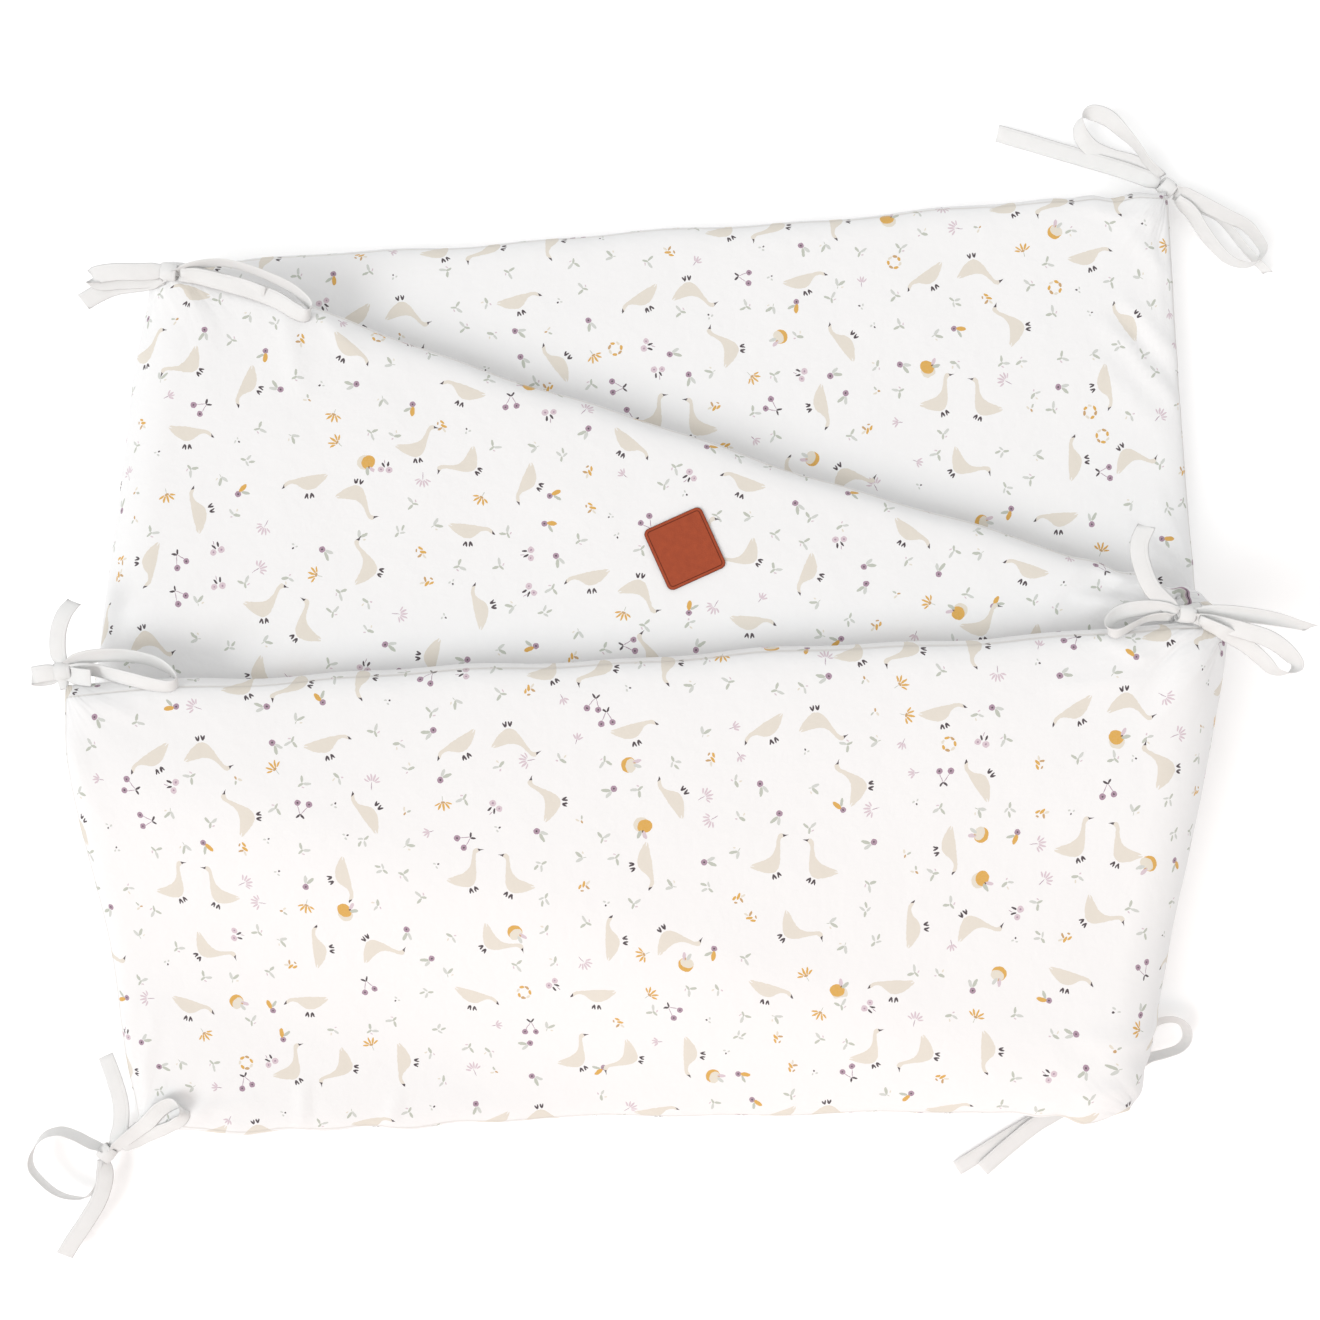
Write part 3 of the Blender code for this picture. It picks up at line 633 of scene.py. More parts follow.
def edge_wander(u, v):
    """A sewn edge isn't straight: it wanders by a millimetre or two."""
    at_edge = np.abs(v / HALF_WIDTH) ** 4
    wander = np.sin(LONG_WAVE * u + np.sign(v))
    wander = wander + SHORT_WAVE_SHARE * np.sin(SHORT_WAVE * u + 2.0 * np.sign(v))
    puffs = np.zeros_like(u)
    for along, edge, by, length, reach in PUFFS:
        near = np.exp(-(((u - along * MM) / (reach * MM)) ** 2)) * (v * edge > 0)
        puffs += by * near * np.sin(2 * math.pi * (u - along * MM) / (length * MM))
    return v + MM * (EDGE_WANDER * wander * at_edge + puffs * np.abs(v / HALF_WIDTH) ** 8)


CORNER_PULLS = (
    # along, edge, how far the tie draws the corner in along and across, and its reach, in mm
    (0.0, -1, 7, 11, 45),
    (0.0, 1, 2, 3, 30),
    (RIGHT_APEX, -1, 0, -6, 45),
)


def drawn_in(u, v):
    """A tie draws its corner in, so that the corner isn't square."""
    for along, edge, along_by, across_by, reach in CORNER_PULLS:
        lean = edge * HALF_WIDTH * skew_at(along)
        far = np.hypot(u - along - lean, v - edge * HALF_WIDTH)
        share = np.exp(-((far / (reach * MM)) ** 2))
        u = u + along_by * MM * share
        v = v - edge * across_by * MM * share
    return u, v


def strip_point(u, v, h):
    """A point of the sewn strip, in the folded stack."""
    u, v = drawn_in(u, v)
    mid_end = 1 - (v / HALF_WIDTH) ** 2
    toward_middle = np.sign(STRIP_LENGTH / 2 - u)
    from_end = np.maximum(np.minimum(u, STRIP_LENGTH - u), 0)
    end_pull = np.exp(-from_end / END_PULL_REACH)
    u = u + toward_middle * END_DRAW_IN * mid_end * end_pull
    return place(u, edge_wander(u, v), h)


points = strip_point(flat[:, 0], flat[:, 1], heights)
stores = (inside_seam(flat[:, 0], flat[:, 1]), *fans(flat[:, 0], flat[:, 1]))
for name, values in zip(("from_seam", "fan", "from_tie", "pull"), stores):
    kept = strip.data.attributes.new(name, "FLOAT", "POINT")
    kept.data.foreach_set("value", values.astype(np.float32))
strip.data.vertices.foreach_set("co", points.astype(np.float32).ravel())
strip.data.update()
strip.data.shade_smooth()
pad_tree = BVHTree.FromObject(strip, bpy.context.evaluated_depsgraph_get())
print("folded strip spans", np.round(points.min(axis=0), 3), np.round(points.max(axis=0), 3))


# %% [markdown]
# ## Wiring materials
# A material is a graph of small nodes. These helpers add one node to the tree that its first
# input comes from, feed its inputs with numbers or other nodes' outputs, and give back its
# output, so that a formula reads as one line.

# %% Node helpers
def feed(socket, value):
    if isinstance(value, bpy.types.NodeSocket):
        socket.id_data.links.new(value, socket)
    elif value is not None:
        socket.default_value = value


def fed_node(kind, *values):
    """A new node, in the tree of whichever value is another node's output."""
    return next(v for v in values if isinstance(v, bpy.types.NodeSocket)).id_data.nodes.new(kind)


def calc(operation, *values, kind="ShaderNodeMath"):
    made = fed_node(kind, *values)
    made.operation = operation
    for socket, value in zip(made.inputs, values):
        feed(socket, value)
    is_number = kind == "ShaderNodeMath" or operation == "LENGTH"
    return made.outputs["Value" if is_number else "Vector"]


plus, minus, times, divided, times_plus = (
    partial(calc, name) for name in ("ADD", "SUBTRACT", "MULTIPLY", "DIVIDE", "MULTIPLY_ADD")
)
smaller, larger, is_below, is_above = (
    partial(calc, name) for name in ("MINIMUM", "MAXIMUM", "LESS_THAN", "GREATER_THAN")
)
absolute, floored, modulo, sine = (
    partial(calc, name) for name in ("ABSOLUTE", "FLOOR", "FLOORED_MODULO", "SINE")
)
vector_calc = partial(calc, kind="ShaderNodeVectorMath")


def fading(distance, reach):
    """One where the distance is none, falling evenly to nothing at the reach."""
    return larger(minus(1.0, divided(distance, reach)), 0.0)


def split(vector):
    made = fed_node("ShaderNodeSeparateXYZ", vector)
    feed(made.inputs[0], vector)
    return made.outputs[:3]


def joined(*values):
    made = fed_node("ShaderNodeCombineXYZ", *values)
    for socket, value in zip(made.inputs, values):
        feed(socket, value)
    return made.outputs[0]


def rotated(point, angle, middle=None):
    """A point turned about the Z axis."""
    made = fed_node("ShaderNodeVectorRotate", point)
    made.rotation_type = "Z_AXIS"
    for socket, value in (("Vector", point), ("Center", middle), ("Angle", angle)):
        feed(made.inputs[socket], value)
    return made.outputs[0]


def blended(share, first, second, kind="FLOAT"):
    """A mix of two numbers or of two colours."""
    made = fed_node("ShaderNodeMix", share, first, second)
    made.data_type = kind
    live = {socket.name: socket for socket in made.inputs if socket.enabled}
    for socket, value in (("Factor", share), ("A", first), ("B", second)):
        feed(live[socket], value)
    return next(s for s in made.outputs if s.enabled)


def table(index, rows):
    """Looks up a row of up to four numbers from 0 to 1, by an index that counts from 0."""
    made = fed_node("ShaderNodeValToRGB", index)
    made.color_ramp.interpolation = "CONSTANT"
    stops = made.color_ramp.elements
    for number, row in enumerate(rows):
        stop = stops[number] if number < 2 else stops.new(number / len(rows))
        stop.position = number / len(rows)
        stop.color = (tuple(row) + (1.0, 1.0, 1.0, 1.0))[:4]
    feed(made.inputs[0], divided(plus(index, 0.5), len(rows)))
    return made.outputs["Color"], made.outputs["Alpha"]


def noisy(vector, scale, detail=2.0, roughness=0.5):
    made = fed_node("ShaderNodeTexNoise", vector)
    for socket, value in (("Vector", vector), ("Scale", scale), ("Detail", detail),
                          ("Roughness", roughness)):
        feed(made.inputs[socket], value)
    return made.outputs["Fac"], made.outputs["Color"]


def group(name, inputs, outputs):
    """An empty node group with named sockets, and its two end nodes."""
    made = bpy.data.node_groups.new(name, "ShaderNodeTree")
    for socket, kind, value in inputs:
        new = made.interface.new_socket(socket, in_out="INPUT", socket_type="NodeSocket" + kind)
        if value is not None:
            new.default_value = value
    for socket, kind in outputs:
        made.interface.new_socket(socket, in_out="OUTPUT", socket_type="NodeSocket" + kind)
    return made, made.nodes.new("NodeGroupInput"), made.nodes.new("NodeGroupOutput")


def placed(node_group, **values):
    made = fed_node("ShaderNodeGroup", *values.values())
    made.node_tree = node_group
    for socket, value in values.items():
        feed(made.inputs[socket.replace("_", " ")], value)
    return made


def ink(red, green, blue):
    """A colour as seen on the cloth, from 0 to 255, turned into light."""
    return tuple(((c / 255 + 0.055) / 1.055) ** 2.4 if c > 10 else c / 255 / 12.92
                 for c in (red, green, blue))


print("ochre as light:", tuple(round(c, 3) for c in ink(232, 167, 66)))

# %% [markdown]
# ## The print's inks and small motifs
# A printed pattern has few inks, and each motif is a handful of brush dabs. So one dab is drawn
# once, as an ellipse, and a table says where each motif puts its dabs and in which ink. The
# motifs are plain ones: leaf sprigs, berries, blossom fans and a citrus fruit.

# %% Inks and motifs
INKS = {
    "cloth": ink(237, 237, 237),
    "beige": ink(220, 213, 201),
    "plum": ink(44, 20, 34),
    "ochre": ink(212, 160, 52),
    "lilac": ink(208, 189, 198),
    "mauve": ink(160, 130, 150),
    "sage": ink(182, 187, 175),
    "grey leaf": ink(200, 203, 198),
    "cream": ink(220, 213, 198),
    "tan": ink(190, 150, 94),
}
INK_NAMES = list(INKS)
INK_PLACES = 16
DABS = 8
DAB_FIELD = 16.0
LONGEST_DAB = 6.0
MOTIFS = {
    # each dab: x, y, turn in degrees, half length, half width, ink
    "sprig": ((-2.5, 1.0, 140, 2.4, 0.95, "sage"), (2.4, 1.5, 46, 2.7, 1.0, "grey leaf"),
              (-0.1, -2.2, 82, 2.2, 0.8, "sage"), (2.2, -2.2, 20, 1.1, 0.45, "lilac")),
    "two leaves": ((-1.7, 0.4, 118, 2.8, 1.1, "grey leaf"), (1.9, 0.8, 52, 3.0, 1.05, "sage"),
                   (0.1, -3.1, 95, 1.3, 0.25, "sage"), (3.4, -1.9, 30, 1.0, 0.5, "cream")),
    "branch": ((-3.3, -0.8, 15, 2.1, 0.85, "sage"), (-0.6, 2.5, 75, 2.3, 0.9, "grey leaf"),
               (2.7, 0.9, 35, 2.2, 0.85, "sage"), (0.6, -1.9, -25, 2.0, 0.75, "grey leaf")),
    "leaf pair": ((-1.6, -1.2, 60, 2.5, 1.05, "sage"), (1.9, 1.6, 20, 2.2, 0.85, "grey leaf"),
                  (1.4, -2.6, 150, 1.2, 0.5, "cream"), (-1.3, 2.9, 80, 0.9, 0.5, "lilac")),
    "berry": ((0.2, -3.2, 0, 2.2, 2.2, "mauve"), (0.2, -3.2, 0, 0.65, 0.65, "plum"),
              (-1.7, 1.7, 108, 2.9, 1.15, "grey leaf"), (1.7, 2.2, 62, 3.3, 1.2, "sage")),
    "ochre berry": ((1.6, -3.0, 0, 2.1, 2.1, "mauve"), (1.6, -3.0, 0, 0.6, 0.6, "plum"),
                    (-1.7, 1.0, 125, 3.5, 1.6, "ochre"), (1.9, 2.4, 68, 3.0, 1.05, "sage")),
    "cherries": ((-4.2, -3.6, 0, 2.2, 2.2, "mauve"), (3.6, -2.8, 0, 2.1, 2.1, "mauve"),
                 (-4.2, -3.6, 0, 0.6, 0.6, "plum"), (3.6, -2.8, 0, 0.6, 0.6, "plum"),
                 (-2.0, 1.2, 62, 3.7, 0.24, "mauve"), (1.8, 1.6, 120, 3.5, 0.24, "mauve"),
                 (-1.6, 5.6, 142, 2.0, 0.75, "plum"), (1.2, 6.0, 58, 1.9, 0.7, "plum")),
    "blossoms": ((-2.5, 2.6, 0, 2.4, 2.3, "lilac"), (3.0, 0.8, 0, 2.2, 2.1, "lilac"),
                 (-2.5, 2.6, 0, 0.7, 0.7, "mauve"), (3.0, 0.8, 0, 0.6, 0.6, "mauve"),
                 (-2.9, -1.9, 68, 1.9, 0.75, "plum"), (0.6, -2.0, 104, 2.0, 0.7, "plum"),
                 (-0.9, -4.2, 72, 1.6, 0.25, "mauve")),
    "ochre fan": ((-3.9, 0.9, 156, 2.1, 0.62, "ochre"), (-2.6, 2.6, 124, 2.6, 0.72, "ochre"),
                  (0, 3.2, 91, 2.9, 0.75, "ochre"), (2.5, 2.7, 58, 2.7, 0.72, "ochre"),
                  (3.9, 0.9, 24, 2.2, 0.62, "ochre"), (0, -0.1, 0, 1.5, 0.8, "tan"),
                  (0, -2.8, 88, 1.9, 0.25, "sage")),
    "lilac fan": ((-3.8, 1.0, 154, 2.0, 0.6, "lilac"), (-2.5, 2.7, 126, 2.5, 0.66, "lilac"),
                  (-0.7, 3.5, 100, 2.7, 0.66, "lilac"), (1.3, 3.4, 76, 2.7, 0.66, "lilac"),
                  (3.0, 2.3, 50, 2.4, 0.62, "lilac"), (3.9, 0.6, 22, 1.9, 0.56, "lilac"),
                  (0, -2.4, 92, 2.9, 0.24, "mauve")),
    "small fan": ((-2.0, 1.1, 132, 2.0, 0.58, "lilac"), (-0.6, 2.0, 102, 2.2, 0.6, "lilac"),
                  (0.9, 2.0, 76, 2.2, 0.6, "lilac"), (2.2, 1.0, 46, 2.0, 0.58, "lilac"),
                  (0, -1.7, 90, 2.0, 0.24, "mauve")),
    "ochre sprig": ((-2.6, -0.6, 60, 1.9, 0.85, "ochre"), (0.1, 1.1, 75, 2.4, 0.95, "ochre"),
                    (2.5, -1.1, 130, 1.9, 0.8, "tan"), (3.1, 2.0, 40, 1.8, 0.75, "cream"),
                    (-1.2, -3.4, 0, 1.2, 0.6, "tan")),
    "ochre ring": ((4.0, 0.6, 80, 1.7, 1.0, "ochre"), (2.4, 3.7, 140, 1.8, 1.0, "tan"),
                   (-1.2, 4.4, 10, 1.7, 0.95, "cream"), (-4.0, 2.0, 70, 1.8, 1.0, "ochre"),
                   (-3.9, -1.9, 115, 1.7, 0.95, "tan"), (-1.0, -4.0, 160, 1.9, 1.0, "ochre"),
                   (2.8, -3.0, 30, 1.6, 0.9, "cream")),
    "citrus": ((1.6, -1.2, 0, 5.5, 5.1, "cream"), (-0.7, 0.1, 15, 5.2, 4.6, "ochre"),
               (3.4, 5.4, 62, 3.0, 1.3, "sage"), (-0.2, 6.2, 112, 2.9, 1.3, "lilac"),
               (1.0, 3.6, 70, 0.9, 0.4, "plum")),
    "half citrus": ((0, 0, 0, 5.3, 5.0, "ochre"), (0.3, 1.6, 8, 4.8, 3.5, "cream"),
                    (-3.4, 5.2, 118, 3.0, 1.3, "lilac"), (-0.2, 6.2, 85, 2.8, 1.2, "grey leaf"),
                    (-1.9, 3.8, 110, 0.9, 0.4, "tan")),
    "tiny": ((-1.6, 0.5, 20, 1.0, 0.65, "grey leaf"), (1.3, 1.1, 60, 1.0, 0.6, "grey leaf"),
             (0.2, -1.4, 90, 0.8, 0.6, "plum")),
    "three seeds": ((-1.9, 0.9, 130, 1.5, 0.7, "cream"), (1.6, 1.5, 60, 1.5, 0.7, "sage"),
                    (0.3, -1.4, 100, 1.2, 0.65, "tan")),
}
ORDER = ("sprig", "berry", "lilac fan", "sprig", "ochre sprig", "two leaves", "three seeds",
         "leaf pair", "tiny", "small fan", "sprig", "ochre fan", "berry", "sprig", "cherries",
         "ochre ring", "citrus", "half citrus", "two leaves", "tiny", "blossoms", "leaf pair",
         "ochre berry", "branch")
RARE_MIDDLE = 16.0
print(len(MOTIFS), "motifs in", len(INKS), "inks, drawn in", len(ORDER), "places of the order")

# %% [markdown]
# ## One dab
# A dab is an ellipse. Its node group moves a point into the dab's own axes, divides it by the
# dab's two radii and asks whether it is less than one away from the middle.

# %% A dab
dab, dab_in, dab_out = group(
    "brush dab",
    [("Point", "Vector", None), ("Middle", "Vector", None), ("Turn", "Float", 0.0),
     ("Half size", "Vector", (1.0, 1.0, 1.0)), ("Under", "Float", 0.0), ("Ink", "Float", 0.0)],
    [("Ink", "Float")],
)
back = times(dab_in.outputs["Turn"], -1.0)
straight = rotated(dab_in.outputs["Point"], back, dab_in.outputs["Middle"])
from_middle = vector_calc("SUBTRACT", straight, dab_in.outputs["Middle"])
share_out = vector_calc("DIVIDE", from_middle, dab_in.outputs["Half size"])
covered = is_below(vector_calc("LENGTH", share_out), 1.0)
feed(dab_out.inputs["Ink"], blended(covered, dab_in.outputs["Under"], dab_in.outputs["Ink"]))
print("dab group:", len(dab.nodes), "nodes")

# %% [markdown]
# ## One small motif
# Each of the eight dabs reads its place, turn and size from a table by the motif's number. A
# motif with fewer dabs leaves the rest as specks too small to see.

# %% A small motif
SPECK = (-DAB_FIELD / 2, -DAB_FIELD / 2, 0, 0.01, 0.01, "cloth")


def ink_share(name):
    """An ink as a number from 0 to 1, as a table holds it."""
    return (INK_NAMES.index(name) + 0.5) / INK_PLACES


def dab_rows(number):
    """The two tables of one dab over all motifs: its place, turn and ink, and its half sizes."""
    where, size = [], []
    for name in ORDER:
        dabs = MOTIFS[name]
        x, y, turn, long_way, short_way, colour = dabs[number] if number < len(dabs) else SPECK
        where.append((x / DAB_FIELD + 0.5, y / DAB_FIELD + 0.5, (turn % 180) / 180,
                      ink_share(colour)))
        size.append((long_way / LONGEST_DAB, short_way / LONGEST_DAB, 1.0, 1.0))
    return where, size


motif, motif_in, motif_out = group(
    "small motif", [("Point", "Vector", None), ("Number", "Float", 0.0)], [("Ink", "Float")]
)
running = 0.0
for number in range(DABS):
    where, size = dab_rows(number)
    place_colour, place_ink = table(motif_in.outputs["Number"], where)
    size_colour, _ = table(motif_in.outputs["Number"], size)
    middle = vector_calc("MULTIPLY_ADD", place_colour, (DAB_FIELD, DAB_FIELD, 0.0),
                         (-DAB_FIELD / 2, -DAB_FIELD / 2, 0.0))
    turn = times(split(place_colour)[2], math.pi)
    half_size = vector_calc("MULTIPLY", size_colour, (LONGEST_DAB, LONGEST_DAB, 1.0))
    drawn = placed(dab, Point=motif_in.outputs["Point"], Middle=middle, Turn=turn,
                   Half_size=half_size, Under=running, Ink=place_ink)
    running = drawn.outputs[0]
feed(motif_out.inputs["Ink"], running)
print("motif group:", len(motif.nodes), "nodes")

# %% [markdown]
# ## A goose
# A goose is drawn along a line from tail to beak: one curve says how high the middle of the
# body lies and another how thick it is. Two pairs of curves give a bird with its neck up and
# one with its neck stretched out. Its beak and toes are dark.

# %% A goose
GOOSE_LENGTH = 32.0
GOOSE_HEIGHT = 36.0
GOOSE_GIRTH = 8.0
GOOSE_SHAPES = {
    # x from the tail, height of the middle, half of the thickness there
    "neck up": ((0, 4.2, 0.3), (1.6, 3.6, 1.7), (4.5, 2.0, 3.1), (8.5, 0.3, 4.4), (13, -0.6, 5.2),
                (17, 0.8, 5.0), (19.8, 3.8, 4.2), (22, 7.8, 3.2), (23.9, 11.4, 2.5),
                (25.6, 13.8, 1.8), (27.4, 14.4, 1.5), (29.4, 13.7, 0.6), (32, 12.8, 0.0)),
    "neck out": ((0, 4.4, 0.3), (1.6, 3.8, 1.7), (4.5, 2.4, 3.0), (8.5, 1.0, 4.3), (13, 0.2, 4.8),
                 (17, 0.4, 4.1), (20, 1.3, 2.8), (23, 2.0, 1.6), (26.5, 1.8, 1.25),
                 (29, 0.5, 1.45), (30.5, -0.7, 1.0), (31.6, -1.7, 0.3), (32, -2.2, 0.0)),
}
BEAK_FROM = {"neck up": 28.3, "neck out": 29.9}
FEET = (
    # each toe: x, y, turn in degrees, half length, half width; the last is the notch of the tail
    (11.2, -8.4, 66, 1.9, 0.62, "plum"), (12.5, -8.7, 98, 1.9, 0.62, "plum"),
    (14.7, -8.7, 84, 1.9, 0.62, "plum"), (15.9, -8.4, 116, 1.9, 0.62, "plum"),
    (0.8, 4.6, -24, 2.1, 0.32, "cloth"),
)


def profile(share, pairs, low, high):
    """A smooth curve through the pairs, read at a share of the goose's length."""
    made = fed_node("ShaderNodeFloatCurve", share)
    curve = made.mapping.curves[0]
    made.mapping.extend = "HORIZONTAL"
    for number, (x, y) in enumerate(pairs):
        at = (x / GOOSE_LENGTH, (y - low) / (high - low))
        if number < 2:
            curve.points[number].location = at
        else:
            curve.points.new(*at)
    made.mapping.update()
    feed(made.inputs["Value"], share)
    return times_plus(made.outputs[0], high - low, low)


goose, goose_in, goose_out = group(
    "goose", [("Point", "Vector", None), ("Neck up", "Float", 1.0)], [("Ink", "Float")]
)
x, y, _ = split(goose_in.outputs["Point"])
from_tail = plus(x, GOOSE_LENGTH / 2)
share = divided(from_tail, GOOSE_LENGTH)
middles, girths = [], []
for name, rows in GOOSE_SHAPES.items():
    middles.append(profile(share, [(r[0], r[1]) for r in rows], -GOOSE_HEIGHT / 2,
                           GOOSE_HEIGHT / 2))
    girths.append(profile(share, [(r[0], r[2]) for r in rows], 0.0, GOOSE_GIRTH))
neck_up = goose_in.outputs["Neck up"]
off_middle = absolute(minus(y, blended(neck_up, middles[1], middles[0])))
in_body = is_below(off_middle, blended(neck_up, girths[1], girths[0]))
in_length = is_below(absolute(x), GOOSE_LENGTH / 2)
beak_from = blended(neck_up, BEAK_FROM["neck out"], BEAK_FROM["neck up"])
on_beak = is_above(from_tail, beak_from)
body_ink = blended(on_beak, ink_share("beige"), ink_share("plum"))
running = blended(times(in_body, in_length), 0.0, body_ink)
for foot_x, foot_y, turn, long_way, short_way, colour in FEET:
    foot = placed(dab, Point=goose_in.outputs["Point"], Middle=(foot_x - GOOSE_LENGTH / 2, foot_y,
                                                                0.0), Turn=math.radians(turn),
                  Half_size=(long_way, short_way, 1.0), Under=running, Ink=ink_share(colour))
    running = foot.outputs[0]
feed(goose_out.inputs["Ink"], running)
print("goose group:", len(goose.nodes), "nodes")

# %% [markdown]
# ## Where the geese go
# The geese repeat, as roller printing does. Their repeat is a chart of 30 cells in rows that
# are set off like bricks. Geese come singly or as a pair with their heads together. A second
# column of the chart shifts each goose within its cell, so that no rows show.

# %% The geese's chart
CELL = (37.5, 42.0)
CHART = (
    # a goose's turn in degrees, u for neck up or f for neck out, m where mirrored; and its shift
    (".", "22u 3 2", "150um -4 -3", ".", "282f 1 3"),
    ("128f 2 0", ".", ".", "88u -1 2", "."),
    (".", "205fm 4 -3", "9um -2 -2", ".", "18f -3 1"),
    ("262fm 3 2", ".", ".", "28u 3 2", "255um -2 1"),
    (".", "346f -2 4", ".", "174fm 2 3", "."),
    ("35um -3 -4", ".", "302u -1 1", ".", "92f -3 -2"),
)
SHIFT_SCALE = 16.0
PAIR_SHIFT = 2.0
NECK_UP_DROP = 3.0
CHART_TURNS = []
CHART_SHIFTS = []
for row in CHART:
    for cell in row:
        kind, shift_x, shift_y = (cell + " 0 0").split()[:3]
        turn = float(kind.rstrip("ufm")) if kind != "." else 0.0
        neck = 0.0 if kind == "." else (1.0 if "u" in kind else 0.5)
        CHART_TURNS.append((turn / 360, neck, float("m" in kind), 1.0))
        CHART_SHIFTS.append([float(x) / SHIFT_SCALE + 0.5 for x in (shift_x, shift_y)] + [0.5,
                                                                                          1.0])
print("geese in a repeat:", sum(neck > 0 for _, neck, _, _ in CHART_TURNS))

# %% [markdown]
# This group turns a point of the cloth, in millimetres, into a point beside the goose of its
# cell. It is used twice: to draw the goose, and to ask whether a small motif would lie on one.

# %% Beside a goose
beside, beside_in, beside_out = group(
    "beside a goose", [("Point", "Vector", None)],
    [("Point", "Vector"), ("Goose", "Float"), ("Neck up", "Float")],
)
x, y, _ = split(beside_in.outputs["Point"])
row = floored(divided(y, CELL[1]))
odd = modulo(row, 2.0)
x = times_plus(odd, CELL[0] / 2, x)
column = floored(divided(x, CELL[0]))
local_x = minus(x, times(plus(column, 0.5), CELL[0]))
local_y = minus(y, times(plus(row, 0.5), CELL[1]))
chart_column = modulo(column, float(len(CHART[0])))
chart_row = modulo(row, float(len(CHART)))
chart_index = times_plus(chart_row, float(len(CHART[0])), chart_column)
chart_turn, neck, mirrored = split(table(chart_index, CHART_TURNS)[0])
shift = vector_calc("MULTIPLY_ADD", table(chart_index, CHART_SHIFTS)[0], (SHIFT_SCALE,
                                                                          SHIFT_SCALE, 0.0),
                    (-SHIFT_SCALE / 2, -SHIFT_SCALE / 2, 0.0))
centred = vector_calc("SUBTRACT", joined(local_x, local_y, 0.0), shift)
goose_x, goose_y, _ = split(rotated(centred, times(chart_turn, -2 * math.pi)))
upright = minus(1.0, times(mirrored, 2.0))
goose_y = times(goose_y, upright)
is_neck_up = is_above(neck, 0.75)
goose_y = plus(goose_y, times(is_neck_up, NECK_UP_DROP))
feed(beside_out.inputs["Point"], joined(minus(goose_x, PAIR_SHIFT), goose_y, 0.0))
feed(beside_out.inputs["Goose"], is_above(neck, 0.25))
feed(beside_out.inputs["Neck up"], is_neck_up)
print("beside a goose:", len(beside.nodes), "nodes")

# %% [markdown]
# ## Scattering the small motifs
# A Voronoi texture scatters points evenly but not in rows, and gives each a random colour. One
# small motif is drawn round each point. The point's cell picks it, in an order that keeps the
# same kinds apart, and the colour turns it. Five probes, one in a motif's middle and four round
# it, ask for a goose nearby, and then the motif is left out. Fruit and rings are rare, so more
# than half of them become leaf sprigs.

# %% The scattered print
MOTIF_SPACING = 20.5
MOTIF_SCALE = 0.9
GOOSE_SCALE = 0.92
MOTIF_SCATTER = 0.6
PLACES_ON = 5.0
WOBBLE = 0.9
WOBBLE_SCALE = 0.45
PATCHY_SCALE = 0.9
PATCHY_SHARE = 0.16
RARE_KEPT = 0.38
KEEP_FROM_GOOSE = (15.0, 10.8, 1.0)
PROBE_AT = 5.5
PROBES = [(x * PROBE_AT, y * PROBE_AT, 0.0) for x, y in ((0, 0), (1, 0), (-1, 0), (0, 1), (0,
                                                                                           -1))]
layout, layout_in, layout_out = group(
    "scattered print", [("Point", "Vector", None)], [("Colour", "Color"), ("Inked", "Float")]
)
in_mm = vector_calc("MULTIPLY", layout_in.outputs["Point"], (1000.0, 1000.0, 0.0))
wobble_by = vector_calc("SUBTRACT", noisy(in_mm, WOBBLE_SCALE)[1], (0.5, 0.5, 0.5))
in_mm = vector_calc("MULTIPLY_ADD", wobble_by, (WOBBLE, WOBBLE, 0.0), in_mm)
scatter = layout.nodes.new("ShaderNodeTexVoronoi")
scatter.voronoi_dimensions = "2D"
for socket, value in (("Vector", in_mm), ("Scale", 1 / MOTIF_SPACING),
                      ("Randomness", MOTIF_SCATTER)):
    feed(scatter.inputs[socket], value)
pick, spin, chance = split(scatter.outputs["Color"])
centre = scatter.outputs["Position"]
from_centre = vector_calc("SUBTRACT", in_mm, centre)
small_turned = rotated(from_centre, times(spin, 2 * math.pi))
cell = vector_calc("FLOOR", vector_calc("DIVIDE", centre, (MOTIF_SPACING,) * 3))
cell_x, cell_y, _ = split(cell)
motif_number = times_plus(cell_x, PLACES_ON, cell_y)
motif_number = plus(motif_number, is_above(pick, 0.5))
motif_number = modulo(motif_number, float(len(ORDER)))
from_rare = absolute(minus(motif_number, RARE_MIDDLE))
dropped = times(is_below(from_rare, 1.5), is_above(chance, RARE_KEPT))
motif_number = times(motif_number, minus(1.0, dropped))
small_point = vector_calc("DIVIDE", small_turned, (MOTIF_SCALE,) * 3)
small_drawn = placed(motif, Point=small_point, Number=motif_number)
shown = 1.0
for probe in PROBES:
    near_goose = placed(beside, Point=vector_calc("ADD", centre, probe))
    in_reach = vector_calc("DIVIDE", near_goose.outputs["Point"], KEEP_FROM_GOOSE)
    clear = is_above(vector_calc("LENGTH", in_reach), 1.0)
    clear = larger(clear, minus(1.0, near_goose.outputs["Goose"]))
    shown = smaller(shown, clear)
small_ink = times(small_drawn.outputs[0], shown)
here = placed(beside, Point=in_mm)
goose_point = vector_calc("DIVIDE", here.outputs["Point"], (GOOSE_SCALE,) * 3)
goose_drawn = placed(goose, Point=goose_point, Neck_up=here.outputs["Neck up"])
goose_ink = times(goose_drawn.outputs[0], here.outputs["Goose"])
all_ink = blended(is_above(goose_ink, 0.01), small_ink, goose_ink)

# %% [markdown]
# The ink's number becomes its colour. Ink sits unevenly in woven cotton, so each colour is
# broken up a little.

